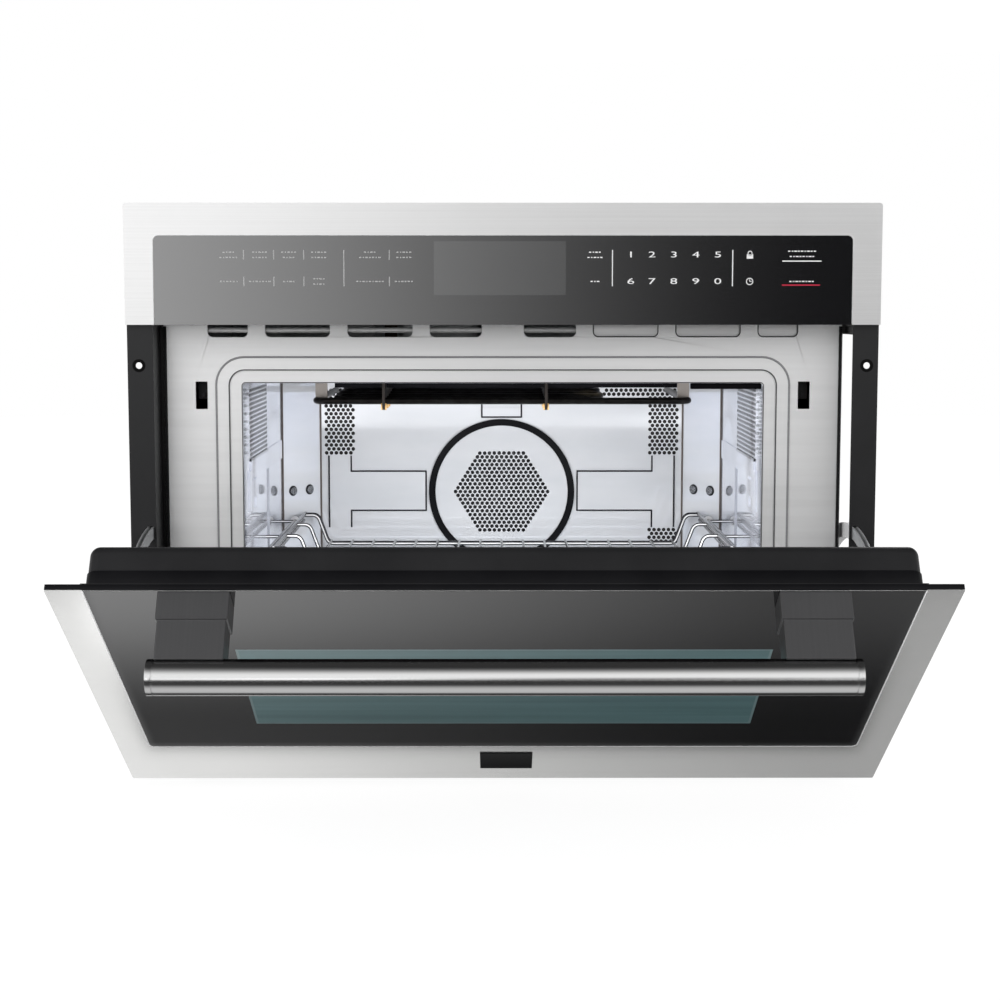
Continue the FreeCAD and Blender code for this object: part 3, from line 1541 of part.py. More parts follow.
def insulation():
    """Five blankets round the cavity: top, bottom, sides and rear."""
    half = cavity_half_width + cavity_sheet
    front = cavity_front + blanket_gap
    top_low = cavity_ceiling_height + cavity_sheet
    bottom_high = cavity_floor_height - cavity_sheet
    cover = rect((-half, half), (front, cavity_back))
    top = sheet("flat", (top_low, top_low + blanket), cover, [rect(*duct_outside(blanket_gap))])
    under = disc(0, table_y, table_motor_lug + table_motor_radius / 2)
    floor_cover = rect((-half, half), (front, cavity_back))
    bottom = sheet("flat", (bottom_high - blanket, bottom_high), floor_cover, [under])
    side_y = (front, chamfer_start)
    side = block((half, half + blanket), side_y, (cavity_floor_height, cavity_ceiling_height))
    lamp_y = front_y + lamp_depth
    grow = lamp_plate_half + blanket_gap
    lamp_room = block((-half - blanket - cut_overrun, -half + cut_overrun), (lamp_y - grow, lamp_y + grow),
                      (lamp_height - grow, lamp_height + grow))
    back = cavity_back + cavity_sheet
    rear_cover = rect((-cavity_flat, cavity_flat), (cavity_floor_height, cavity_ceiling_height))
    rear = sheet("front", (back, back + blanket), rear_cover,
                 [disc(0, fan_height, plenum_radius + plenum_flange + blanket_gap)])
    return Part.makeCompound([top, bottom, side, mirrored(side).cut(lamp_room), rear])


nodes = {
    "base_plate": base_plate(),
    "casing_side_right": casing_side(),
    "casing_side_left": mirrored(casing_side()),
    "casing_top": casing_top(),
    "rear_panel": rear_panel(),
    "conduit_gland": conduit_gland(),
    "face_plate": face_plate(),
    "side_strip_right": side_strip(True),
    "side_strip_left": mirrored(side_strip(False)),
    "arm_guides": both_sides(arm_guide()),
    "fascia_frame": fascia_frame(),
    "control_glass": control_glass(),
    "control_housing": control_housing(),
    "touch_board": touch_board(),
    "display_module": display_module(),
    "power_board": power_board(),
    "hinge_brackets": both_sides(hinge_bracket()),
    "door_frame": swung(door_frame()),
    "door_glass": swung(door_glass()),
    "door_liner": swung(door_liner()),
    "door_choke_plate": swung(door_choke_plate()),
    "door_inner_glass": swung(door_inner_glass()),
    "handle_bar": swung(handle_bar()),
    "handle_brackets": swung(both_sides(handle_bracket())),
    "hinge_arms": swung(both_sides(hinge_arm())),
    "stay_arms": swung(both_sides(stay_arm())),
    "latch_hooks": swung(latch_hooks()),
    "interlock_switches": both_sides(switch_block()),
    "interlock_plungers": both_sides(interlock_plunger()),
    "cavity_ceiling": cavity_ceiling(),
    "cavity_floor": cavity_floor(),
    "cavity_side_right": cavity_side(),
    "cavity_side_left": mirrored(cavity_side()),
    "cavity_rear": cavity_rear(),
    "cavity_screws": cavity_screws(),
    "fan_ring": fan_ring(),
    "fan_cover": fan_cover(),
    "fan_plenum": fan_plenum(),
    "ring_heater": ring_heater(),
    "convection_fan": convection_fan(),
    "convection_motor": convection_motor(),
    "broil_element": broil_element(),
    "element_clips": element_clips(),
    "wire_rack": wire_rack(),
    "rack_supports": both_sides(rack_support()),
    "turntable_glass": turntable_glass_shape(),
    "turntable_coupler": turntable_coupler(),
    "roller_ring": roller_ring(),
    "turntable_motor": turntable_motor(),
    "waveguide_cover": waveguide_cover(),
    "waveguide": waveguide(),
    "magnetron": magnetron(),
    "component_deck": component_deck(),
    "transformer": transformer(),
    "capacitor": capacitor(),
    "blower_housing": blower_housing(),
    "blower_wheel": blower_wheel(),
    "blower_motor": blower_motor(),
    "cavity_lamp": cavity_lamp(),
    "insulation": insulation(),
}

os.makedirs("parts", exist_ok=True)
for name, shape in nodes.items():
    shape.exportStep("parts/" + name + ".step")
    print(name, "solids", len(shape.Solids), "valid", shape.isValid(), "volume", round(shape.Volume))
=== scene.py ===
import logging
import math
from contextlib import contextmanager
from dataclasses import dataclass
from enum import Enum
from functools import cache
from typing import Any, Callable, Iterable, Iterator

import bpy
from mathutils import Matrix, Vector


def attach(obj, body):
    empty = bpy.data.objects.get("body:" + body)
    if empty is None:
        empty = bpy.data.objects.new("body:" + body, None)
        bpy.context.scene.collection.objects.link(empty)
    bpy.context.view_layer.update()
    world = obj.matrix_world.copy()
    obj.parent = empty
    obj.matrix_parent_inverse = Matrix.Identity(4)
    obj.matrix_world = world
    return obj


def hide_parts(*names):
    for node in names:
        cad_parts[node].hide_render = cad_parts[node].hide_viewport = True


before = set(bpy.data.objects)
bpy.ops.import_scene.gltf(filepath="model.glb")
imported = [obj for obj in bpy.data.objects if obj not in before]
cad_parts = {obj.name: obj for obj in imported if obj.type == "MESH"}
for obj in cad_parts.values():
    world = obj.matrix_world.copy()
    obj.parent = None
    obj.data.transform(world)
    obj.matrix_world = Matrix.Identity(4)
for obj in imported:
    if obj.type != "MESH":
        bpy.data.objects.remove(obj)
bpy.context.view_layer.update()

LOG = logging.getLogger("wall_oven")
MM = 0.001
Triple = tuple[float, float, float]
Colour = Triple
Span = tuple[float, float]
Ramp = tuple[float, float, float, float]
Inputs = dict[Any, Any]


class Axis(Enum):
    """A direction, given as the turn that lays an upright form along it."""

    X = (0.0, math.pi / 2, 0.0)
    Y = (math.pi / 2, 0.0, 0.0)
    Z = (0.0, 0.0, 0.0)


def mm(*sizes: float) -> tuple[float, ...]:
    """Returns millimetres as metres."""
    return tuple(size * MM for size in sizes)


def grey(level: float) -> Colour:
    """Returns a neutral colour."""
    return level, level, level


# Shader maths

NOISE_MEAN = 0.5
NOISE_DETAIL = 2.0
NOISE_ROUGHNESS = 0.55
FACING_BLEND = 0.5
CLOUDY = 4.0
SMEAR_DETAIL = 5.0
SMEAR_STEP = (0.45, 0.8)
SMEAR_DEPTH = 0.05
MIX_LOW, MIX_HIGH, MIX_COLOUR = 6, 7, 2


def math_method(operation: str, swapped: bool = False) -> Callable[..., "Value"]:
    """Makes a method that adds a Math node.

    Args:
        operation: the node's operation.
        swapped: whether the method's own value is the second operand.

    Returns:
        The method, which returns the node's value.
    """
    def method(self: "Value", other: Any = 0.0) -> "Value":
        """Returns the operation's result."""
        first, second = (other, self) if swapped else (self, other)
        return self.graph.node("ShaderNodeMath", {0: first, 1: second}, operation=operation)

    return method


class Value:
    """A number or vector that a node gives, with arithmetic written as in Python."""

    __add__ = __radd__ = math_method("ADD")
    __sub__ = math_method("SUBTRACT")
    __rsub__ = math_method("SUBTRACT", True)
    __mul__ = __rmul__ = math_method("MULTIPLY")
    __truediv__ = math_method("DIVIDE")
    __pow__ = math_method("POWER")
    __abs__ = math_method("ABSOLUTE")
    below = math_method("LESS_THAN")
    fold = math_method("PINGPONG")

    def __init__(self, graph: "Graph", socket: bpy.types.NodeSocket) -> None:
        """Keeps the graph and the socket."""
        self.graph = graph
        self.socket = socket

    def ramp(self, low: float, high: float, start: float = 0.0, end: float = 1.0) -> "Value":
        """Returns start below low, end above high and a smooth step between them."""
        places = {"Value": self, "From Min": low, "From Max": high, "To Min": start, "To Max": end}
        return self.graph.node("ShaderNodeMapRange", places, interpolation_type="SMOOTHSTEP")

    def between(self, low: Any, high: Any) -> "Value":
        """Returns low where the value is 0, high where it is 1, and their blend in between."""
        return (1 - self) * low + self * high

    def swing(self, size: float) -> "Value":
        """Returns noise about zero, times a size."""
        return (self - NOISE_MEAN) * size


class Graph:
    """A node tree with one way to add a node."""

    def __init__(self, tree: bpy.types.NodeTree) -> None:
        """Empties the tree and keeps it."""
        self.tree = tree
        tree.nodes.clear()

    def add(self, kind: str, inputs: Inputs | None = None, **settings: Any) -> bpy.types.Node:
        """Adds a node, sets it and joins its inputs.

        Args:
            kind: the node's type.
            inputs: socket names or numbers, with a number, colour or Value each.
            settings: properties that are set before the inputs.

        Returns:
            The node.
        """
        made = self.tree.nodes.new(kind)
        for name, value in settings.items():
            setattr(made, name, value)
        for name, value in (inputs or {}).items():
            if isinstance(value, Value):
                self.tree.links.new(value.socket, made.inputs[name])
            else:
                made.inputs[name].default_value = value
        return made

    def node(self, kind: str, inputs: Inputs | None = None, output: Any = 0, **settings: Any) -> Value:
        """Adds a node in the same way and returns one of its outputs."""
        return Value(self, self.add(kind, inputs, **settings).outputs[output])

    def place(self) -> Value:
        """Returns the surface point in the piece's own coordinates."""
        return self.node("ShaderNodeTexCoord", output="Object")

    def parts(self, vector: Value) -> tuple[Value, ...]:
        """Returns a vector's three numbers."""
        return tuple(Value(self, socket) for socket in self.add("ShaderNodeSeparateXYZ", {0: vector}).outputs)

    def facing(self) -> Value:
        """Returns 0 where the surface is seen square on and 1 at its outline."""
        return self.node("ShaderNodeLayerWeight", {"Blend": FACING_BLEND}, "Facing")

    def rays(self) -> tuple[Value, Value]:
        """Returns whether a ray comes from the camera, and whether it is a mirrored one."""
        outputs = self.add("ShaderNodeLightPath").outputs
        return Value(self, outputs["Is Camera Ray"]), Value(self, outputs["Is Glossy Ray"])

    def noise(self, scale: float | Triple, detail: float = NOISE_DETAIL,
              roughness: float = NOISE_ROUGHNESS) -> Value:
        """Returns noise, which can be stretched along the axes.

        Args:
            scale: cycles per metre, one number or one each along X, Y and Z.
            detail: octaves.
            roughness: weight of the finer octaves.

        Returns:
            A number about 0.5.
        """
        scales = scale if isinstance(scale, tuple) else (scale,) * 3
        spot = self.node("ShaderNodeMapping", {"Vector": self.place(), "Scale": scales})
        places = {"Vector": spot, "Scale": 1.0, "Detail": detail, "Roughness": roughness}
        return self.node("ShaderNodeTexNoise", places)

    def blend(self, factor: Any, low: Any, high: Any) -> Value:
        """Returns a colour between two colours, each of them a colour or a Value."""
        ends = [c if isinstance(c, Value) else (*c, 1.0) for c in (low, high)]
        return self.node("ShaderNodeMix", {0: factor, MIX_LOW: ends[0], MIX_HIGH: ends[1]}, MIX_COLOUR,
                         data_type="RGBA")

    def bump(self, height: Value, strength: float, distance: float) -> Value:
        """Returns the normal of a relief whose height of 1 stands for a distance in metres."""
        return self.node("ShaderNodeBump", {"Height": height, "Strength": strength, "Distance": distance})

    def smears(self, scale: Triple, roughness: float) -> Value:
        """Returns the roughness of glass with faint smears."""
        return roughness + self.noise(scale, SMEAR_DETAIL).ramp(*SMEAR_STEP) * SMEAR_DEPTH


# Finishes


@dataclass(frozen=True)
class Finish:
    """A procedural material that ends in one Principled shader."""

    name: str

    @cache
    def material(self) -> bpy.types.Material:
        """Returns the finish as a material, which is made once.

        Returns:
            The material.
        """
        material = bpy.data.materials.new(self.name)
        material.use_nodes = True
        graph = Graph(material.node_tree)
        shader = graph.node("ShaderNodeBsdfPrincipled", self.inputs(graph), "BSDF")
        graph.add("ShaderNodeOutputMaterial", {"Surface": shader})
        return material

    def inputs(self, graph: Graph) -> Inputs:
        """Returns the shader's inputs, which each kind of finish works out."""
        raise NotImplementedError


@dataclass(frozen=True)
class Brushed(Finish):
    """Brushed or rolled metal: fine streaks along one direction over soft clouds."""

    colour: Colour
    roughness: float
    streaks: float | Triple = (6.0, 900.0, 900.0)
    streak_depth: float = 0.06
    cloud: float = 0.05
    shade: float = 0.05
    relief: float = 0.00002
    metallic: float = 1.0
    cloud_scale: float = 9.0
    streak_share: float = 0.6
    tone: Span = (0.3, 0.7)
    strength: float = 0.25

    def inputs(self, graph: Graph) -> Inputs:
        """Works out the shader's inputs.

        Args:
            graph: the node graph to work in.

        Returns:
            A value for each input's name.
        """
        streak = graph.noise(self.streaks)
        clouds = graph.noise(self.cloud_scale, CLOUDY)
        dark = tuple(c * (1 - self.shade * 2) for c in self.colour)
        light = tuple(min(1.0, c * (1 + self.shade)) for c in self.colour)
        tone = streak * self.streak_share + clouds * (1 - self.streak_share)
        return {
            "Base Color": graph.blend(tone.ramp(*self.tone), dark, light),
            "Metallic": self.metallic,
            "Roughness": self.roughness + streak.swing(self.streak_depth) + clouds.swing(self.cloud),
            "Normal": graph.bump(streak, self.strength, self.relief),
        }


@dataclass(frozen=True)
class Polished(Finish):
    """Polished round metal with a painted highlight along its middle and painted shade towards its outline."""

    core: Colour
    outline: Colour
    step: Span
    grain: float | Triple
    roughness: float
    spread: float
    metallic: float = 1.0
    relief: float = 0.0
    strength: float = 0.25

    def inputs(self, graph: Graph) -> Inputs:
        """Works out the shader's inputs.

        Args:
            graph: the node graph to work in.

        Returns:
            A value for each input's name.
        """
        grain = graph.noise(self.grain)
        made: Inputs = {
            # painted highlight in the middle and painted shade towards the outline
            "Base Color": graph.blend(graph.facing().ramp(*self.step), self.core, self.outline),
            "Metallic": self.metallic,
            "Roughness": self.roughness + grain * self.spread,
        }
        if self.relief:
            made["Normal"] = graph.bump(grain, self.strength, self.relief)
        return made


@dataclass(frozen=True)
class HoleField:
    """A field of staggered small holes, each ringed with painted shade.

    The first row starts at the given place and height, the next one starts half a pitch further,
    and so on. A taper shortens the rows away from the middle height.
    """

    start: float
    first: float
    columns: int
    rows: int
    row: float = 4.86 * MM
    stagger: float = 3.015 * MM
    taper: float = 0.0
    pitch: float = 6.03 * MM
    rim: float = 2.28 * MM

    def shade_rims(self, along: Value, up: Value) -> Value:
        """Marks the painted shade round the holes.

        Args:
            along: the place along the rows.
            up: the height.

        Returns:
            One on a rim and zero elsewhere.
        """
        rise = abs(self.row)
        across = (along - self.start).fold(self.pitch / 2)
        climb = (up - self.first).fold(rise)
        middle = self.start + (self.columns - 1) * self.pitch / 2
        off = abs(up - self.first - (self.rows - 1) * self.row / 2)
        half = self.columns * self.pitch / 2
        marks = self.disc(across, climb) * (abs(along - middle) + off * self.taper).below(half)
        inner = (abs(along - middle - self.stagger) + off * self.taper).below(half)
        other = self.disc(self.pitch / 2 - across, rise - climb) * inner
        return (marks + other) * off.below(self.rows * rise / 2)

    def disc(self, across: Value, climb: Value) -> Value:
        """Returns one within a rim's radius of a hole's middle."""
        return (across * across + climb * climb).below(self.rim ** 2)


@dataclass(frozen=True)
class CavitySteel(Finish):
    """Smooth cavity sheet whose hole walls, hidden side and a ring round each hole are painted near-black as shade.
    """

    back: float
    fields: tuple[HoleField, ...] = ()
    on_side: bool = False
    side: float = 268.25 * MM
    colour: Colour = (0.90, 0.915, 0.955)
    shade: Colour = (0.85, 0.87, 0.915)
    hole_shade: Colour = (0.012, 0.012, 0.015)
    metallic: float = 0.45
    clouds: Triple = (8.0, 8.0, 30.0)
    cloud_detail: float = 3.0
    tone: Span = (0.3, 0.7)
    roughness: float = 0.045
    spread: float = 0.03

    def inputs(self, graph: Graph) -> Inputs:
        """Works out the shader's inputs.

        Args:
            graph: the node graph to work in.

        Returns:
            A value for each input's name.
        """
        x, y, z = graph.parts(graph.place())
        cloud = graph.noise(self.clouds, self.cloud_detail)
        face = abs(x).below(self.side) * y.below(self.back)
        for holes in self.fields:
            face = face * (1 - holes.shade_rims(y if self.on_side else x, z))
        sheet = graph.blend(cloud.ramp(*self.tone), self.shade, self.colour)
        return {
            # the hole walls, the hidden side and the rings round the holes take the near-black hole colour as
            # painted shade
            "Base Color": graph.blend(face, self.hole_shade, sheet),
            "Metallic": face * self.metallic,
            "Roughness": self.roughness + cloud * self.spread,
        }


@dataclass(frozen=True)
class Enamel(Finish):
    """Paint, enamel or moulded plastic with a fine orange-peel surface."""

    colour: Colour
    roughness: float
    grain: float = 900.0
    relief: float = 0.00003
    specular: float = 0.5
    dust: float = 0.15
    film: float = 0.002
    cloud_scale: float = 14.0
    tone: Span = (0.35, 0.75)
    cloud: float = 0.12
    grit: float = 0.05
    strength: float = 0.3

    def inputs(self, graph: Graph) -> Inputs:
        """Works out the shader's inputs.

        Args:
            graph: the node graph to work in.

        Returns:
            A value for each input's name.
        """
        grain = graph.noise(self.grain)
        clouds = graph.noise(self.cloud_scale, CLOUDY)
        lighter = tuple(min(1.0, c * (1 + self.dust) + self.film) for c in self.colour)
        return {
            "Base Color": graph.blend(clouds.ramp(*self.tone), self.colour, lighter),
            "Roughness": self.roughness + clouds.swing(self.cloud) + grain.swing(self.grit),
            "Specular IOR Level": self.specular,
            "Normal": graph.bump(grain, self.strength, self.relief),
        }


@dataclass(frozen=True)
class Mottled(Finish):
    """A surface whose colour wanders between two shades: print, lacquer, fibre or a circuit board."""

    low: Colour
    high: Colour
    scale: float | Triple
    roughness: float
    spread: float = 0.0
    detail: float = NOISE_DETAIL
    weight: float = NOISE_ROUGHNESS
    specular: float = 0.5
    relief: float = 0.0
    strength: float = 0.8
    step: Span | None = None

    def inputs(self, graph: Graph) -> Inputs:
        """Works out the shader's inputs.

        Args:
            graph: the node graph to work in.

        Returns:
            A value for each input's name.
        """
        grain = graph.noise(self.scale, self.detail, self.weight)
        made: Inputs = {
            "Base Color": graph.blend(grain.ramp(*self.step) if self.step else grain, self.low, self.high),
            "Roughness": self.roughness + grain * self.spread if self.spread else self.roughness,
            "Specular IOR Level": self.specular,
        }
        if self.relief:
            made["Normal"] = graph.bump(grain, self.strength, self.relief)
        return made


@dataclass(frozen=True)
class PanelPrint(Finish):
    """White print that is dimmer on the left of the panel."""

    name: str = "mark_print"
    left: Colour = grey(0.45)
    right: Colour = grey(0.92)
    reach: float = 0.12
    roughness: float = 0.6

    def inputs(self, graph: Graph) -> Inputs:
        """Works out the shader's inputs.

        Args:
            graph: the node graph to work in.

        Returns:
            A value for each input's name.
        """
        x = graph.parts(graph.place())[0]
        return {"Base Color": graph.blend(x.ramp(-self.reach, self.reach), self.left, self.right),
                "Roughness": self.roughness}


@dataclass(frozen=True)
class PanelGlass(Finish):
    """Dark printed glass of the control panel, a shade lighter over the display."""

    name: str = "panel_glass"
    colour: Colour = (0.005, 0.005, 0.006)
    display: Colour = (0.045, 0.046, 0.047)
    centre_x: float = -3.2 * MM
    half_width: float = 65.9 * MM
    centre_z: float = 526.4 * MM
    half_height: float = 26.8 * MM
    roughness: float = 0.035
    specular: float = 1.0
    index: float = 1.85
    smear: Triple = (5.0, 5.0, 9.0)

    def inputs(self, graph: Graph) -> Inputs:
        """Works out the shader's inputs.

        Args:
            graph: the node graph to work in.

        Returns:
            A value for each input's name.
        """
        x, _, z = graph.parts(graph.place())
        inside = abs(x - self.centre_x).below(self.half_width) * abs(z - self.centre_z).below(self.half_height)
        return {
            "Base Color": graph.blend(inside, self.colour, self.display),
            "Roughness": graph.smears(self.smear, self.roughness),
            "Specular IOR Level": self.specular,
            "IOR": self.index,
        }


@dataclass(frozen=True)
class DoorGlass(Finish):
    """Dark printed glass of the door, with a tinted window that shows a pale frame behind it."""

    name: str = "door_glass"
    colour: Colour = (0.009, 0.009, 0.010)
    window: Colour = (0.095, 0.175, 0.185)
    rim: Colour = (0.18, 0.27, 0.28)
    lift: float = 1.35
    half_width: float = 235.7 * MM
    low: float = 179.0 * MM
    high: float = 349.0 * MM
    rim_width: float = 2.2 * MM
    roughness: float = 0.03
    specular: float = 0.4
    weave: Triple = (2.0, 60.0, 60.0)
    tone: Span = (0.2, 0.8)
    smear: Triple = (5.0, 9.0, 9.0)

    def inputs(self, graph: Graph) -> Inputs:
        """Works out the shader's inputs.

        Args:
            graph: the node graph to work in.

        Returns:
            A value for each input's name.
        """
        x, y, z = graph.parts(graph.place())
        off = abs(closed_height(y, z) - (self.low + self.high) / 2)
        half = (self.high - self.low) / 2
        inside, core = (abs(x).below(self.half_width - rim) * off.below(half - rim)
                        for rim in (0.0, self.rim_width))
        lighter = tuple(c * self.lift for c in self.window)
        pane = graph.blend(graph.noise(self.weave).ramp(*self.tone), self.window, lighter)
        return {
            "Base Color": graph.blend(inside, self.colour, graph.blend(core, self.rim, pane)),
            "Roughness": graph.smears(self.smear, self.roughness),
            "Specular IOR Level": self.specular,
        }


@dataclass(frozen=True)
class ClearGlass(Finish):
    """Clear or tinted see-through glass."""

    colour: Colour
    alpha: float
    roughness: float = 0.04
    scale: float = 11.0
    step: Span = (0.5, 0.8)
    spread: float = 0.06

    def inputs(self, graph: Graph) -> Inputs:
        """Works out the shader's inputs.

        Args:
            graph: the node graph to work in.

        Returns:
            A value for each input's name.
        """
        rough = self.roughness + graph.noise(self.scale, CLOUDY).ramp(*self.step) * self.spread
        return {"Base Color": (*self.colour, 1.0), "Roughness": rough, "Alpha": self.alpha}


@dataclass(frozen=True)
class ClipFinish(Finish):
    """Dark combs with buff beads, and pale end straps."""

    name: str = "clip_finish"
    comb: Colour = (0.012, 0.010, 0.009)
    bead: Colour = (0.42, 0.26, 0.10)
    strap: Colour = (0.30, 0.275, 0.255)
    comb_places: tuple[float, ...] = mm(-130.0, 48.0)
    comb_half: float = 1.6 * MM
    strap_inner: float = 180.0 * MM
    strap_metallic: float = 0.7
    roughness: float = 0.45
    spread: float = 0.15
    specular: float = 0.25
    grain: float = 400.0
    strength: float = 0.3
    relief: float = 0.00004

    def inputs(self, graph: Graph) -> Inputs:
        """Works out the shader's inputs.

        Args:
            graph: the node graph to work in.

        Returns:
            A value for each input's name.
        """
        x = graph.parts(graph.place())[0]
        on_comb: Any = 0.0
        for place in self.comb_places:
            on_comb = abs(x - place).below(self.comb_half) + on_comb
        outside = 1 - abs(x).below(self.strap_inner)
        grain = graph.noise(self.grain)
        return {
            "Base Color": graph.blend(outside, graph.blend(on_comb, self.bead, self.comb), self.strap),
            "Metallic": outside * self.strap_metallic,
            "Roughness": self.roughness + grain.swing(self.spread),
            "Specular IOR Level": self.specular,
            "Normal": graph.bump(grain, self.strength, self.relief),
        }


# The door's turn

DOOR_OPEN = math.radians(55.0)
DOOR_FACE = -296.0 * MM
HINGE_Y = -276.0 * MM
HINGE_Z = 13.3 * MM


def closed_height(y: Value, z: Value) -> Value:
    """Returns the height that a point of the open door has when the door is closed."""
    return HINGE_Z - (y - HINGE_Y) * math.sin(DOOR_OPEN) + (z - HINGE_Z) * math.cos(DOOR_OPEN)


def on_door(x: float, depth: float, height: float) -> Vector:
    """Gives a point of the open door.

    Args:
        x: place from left to right.
        depth: depth behind the outer face, with the door closed.
        height: height with the door closed.

    Returns:
        The point with the door as modelled.
    """
    along = DOOR_FACE + depth - HINGE_Y
    up = height - HINGE_Z
    y = HINGE_Y + along * math.cos(DOOR_OPEN) - up * math.sin(DOOR_OPEN)
    z = HINGE_Z + along * math.sin(DOOR_OPEN) + up * math.cos(DOOR_OPEN)
    return Vector((x, y, z))


# Modelling steps


class Corners(Enum):
    """Which corners of an outline are rounded."""

    ALL = "all"
    TOP = "top"
    BOTTOM = "bottom"


@dataclass(frozen=True)
class Outline:
    """An upright rectangle about the middle, with rounded corners."""

    half_width: float
    low: float
    high: float
    corner: float
    corners: Corners = Corners.ALL

    def rounds(self, z: float) -> bool:
        """Returns whether a corner at a height is rounded."""
        upper = z > (self.low + self.high) / 2
        return self.corners is Corners.ALL or upper == (self.corners is Corners.TOP)


SQUARE_ON = 0.9
CORNER_STEPS = 10
EDGE_SHARE = 0.3
EDGE_ANGLE = 35.0
FRAME_ANGLE = 50.0
ROUND_ANGLE = 60.0


def looks(side: float) -> Callable[[bpy.types.MeshPolygon], bool]:
    """Returns a test for the faces that look to the back (side 1) or to the front (side -1)."""
    return lambda face: face.normal.y * side > SQUARE_ON


def add_bevel(made: bpy.types.Object, width: float, segments: int, angle: float) -> bpy.types.Modifier:
    """Adds a bevel modifier for the sharp edges.

    Args:
        made: the object.
        width: the bevel's width.
        segments: its steps.
        angle: the least angle that is rounded, in degrees.

    Returns:
        The modifier.
    """
    modifier = made.modifiers.new("edge", "BEVEL")
    modifier.width = width
    modifier.segments = segments
    modifier.limit_method = "ANGLE"
    modifier.angle_limit = math.radians(angle)
    return modifier


@dataclass
class Piece:
    """A mesh object with the operator steps that shape and dress it."""

    made: bpy.types.Object

    @staticmethod
    def clear() -> None:
        """Leaves edit mode and deselects everything."""
        if bpy.context.object is not None and bpy.context.object.mode != "OBJECT":
            bpy.ops.object.mode_set(mode="OBJECT")
        bpy.ops.object.select_all(action="DESELECT")

    @classmethod
    def added(cls, name: str) -> "Piece":
        """Returns the object that an operator has just added, named and settled in its mesh."""
        bpy.context.object.name = name
        return cls(bpy.context.object).settle()

    @classmethod
    def box(cls, name: str, centre: Triple, size: Triple) -> "Piece":
        """Returns a box with a centre and three sides."""
        bpy.ops.mesh.primitive_cube_add(size=1.0, location=centre, scale=size)
        return cls.added(name)

    @classmethod
    def block(cls, name: str, *spans: Span) -> "Piece":
        """Returns a box between its low and high ends along X, Y and Z."""
        return cls.box(name, tuple(sum(span) / 2 for span in spans), tuple(high - low for low, high in spans))

    @classmethod
    def rod(cls, name: str, centre: Triple, radius: float, length: float, axis: Axis, vertices: int) -> "Piece":
        """Returns a cylinder along an axis, with a number of sides."""
        bpy.ops.mesh.primitive_cylinder_add(vertices=vertices, radius=radius, depth=length,
                                            location=centre, rotation=axis.value)
        return cls.added(name)

    @classmethod
    def frame(cls, name: str, outline: Outline, width: float, depths: Span) -> "Piece":
        """Makes a thin upright frame with rounded corners.

        Args:
            name: the object's name.
            outline: its outer outline.
            width: its line's width.
            depths: its front and back.

        Returns:
            The frame.
        """
        thick = depths[1] - depths[0]
        centre = (0.0, depths[0], (outline.low + outline.high) / 2)
        bpy.ops.mesh.primitive_plane_add(size=1.0, location=centre, rotation=Axis.Y.value)
        bpy.context.object.scale = (outline.half_width * 2, outline.high - outline.low, 1.0)
        made = cls.added(name)
        with made.editing(lambda vertex: outline.rounds(vertex.co.z), "VERT"):
            bpy.ops.mesh.bevel(offset=outline.corner, segments=CORNER_STEPS, affect="VERTICES")
            bpy.ops.mesh.select_mode(type="FACE")
            bpy.ops.mesh.select_all(action="SELECT")
            bpy.ops.mesh.inset(thickness=width, use_boundary=True)
            bpy.ops.mesh.delete(type="FACE")
            bpy.ops.mesh.select_all(action="SELECT")
            bpy.ops.mesh.extrude_region_move(TRANSFORM_OT_translate={"value": (0.0, thick, 0.0)})
            bpy.ops.mesh.select_all(action="SELECT")
            bpy.ops.mesh.normals_make_consistent(inside=False)
        return made.bevel(min(width, thick) * EDGE_SHARE, angle=FRAME_ANGLE)

    @staticmethod
    def join(name: str, pieces: list["Piece"]) -> "Piece":
        """Joins several pieces into one.

        Args:
            name: the joined object's name.
            pieces: the pieces.

        Returns:
            The joined piece.
        """
        Piece.clear()
        for piece in pieces:
            piece.made.select_set(True)
        bpy.context.view_layer.objects.active = pieces[0].made
        bpy.ops.object.join()
        pieces[0].made.name = name
        return pieces[0]

    def hold(self) -> None:
        """Selects the piece alone and makes it the active one."""
        self.clear()
        self.made.select_set(True)
        bpy.context.view_layer.objects.active = self.made

    def settle(self) -> "Piece":
        """Applies the active object's place, turn and scale to its mesh."""
        bpy.ops.object.transform_apply(location=True, rotation=True, scale=True)
        return self

    @contextmanager
    def editing(self, test: Callable[[Any], bool] | None = None, mode: str = "FACE") -> Iterator[None]:
        """Opens the mesh in edit mode, with all or some of it selected, and closes it afterwards.

        Args:
            test: says whether a face, or in the other mode a vertex, is selected.
            mode: FACE or VERT.
        """
        self.hold()
        bpy.ops.object.mode_set(mode="EDIT")
        bpy.ops.mesh.select_mode(type=mode)
        bpy.ops.mesh.select_all(action="DESELECT" if test else "SELECT")
        if test:
            bpy.ops.object.mode_set(mode="OBJECT")
            for item in self.made.data.polygons if mode == "FACE" else self.made.data.vertices:
                item.select = test(item)
            bpy.ops.object.mode_set(mode="EDIT")
        yield
        bpy.ops.object.mode_set(mode="OBJECT")

    def sink(self, side: float, rim: float, depth: float) -> None:
        """Insets the faces that look to one side and moves the inner ones along Y.

        Args:
            side: 1 for the back, -1 for the front.
            rim: how far the inner faces are inset.
            depth: how far they move.
        """
        with self.editing(looks(side)):
            bpy.ops.mesh.inset(thickness=rim)
            bpy.ops.transform.translate(value=(0.0, depth, 0.0))

    def bevel(self, width: float, segments: int = 2, angle: float = EDGE_ANGLE) -> "Piece":
        """Rounds the sharp edges and smooths the shading.

        Args:
            width: the bevel's width.
            segments: its steps.
            angle: the least angle that is rounded, in degrees.

        Returns:
            The piece.
        """
        self.hold()
        bpy.ops.object.modifier_apply(modifier=add_bevel(self.made, width, segments, angle).name)
        bpy.ops.object.shade_smooth_by_angle(angle=math.radians(angle))
        return self

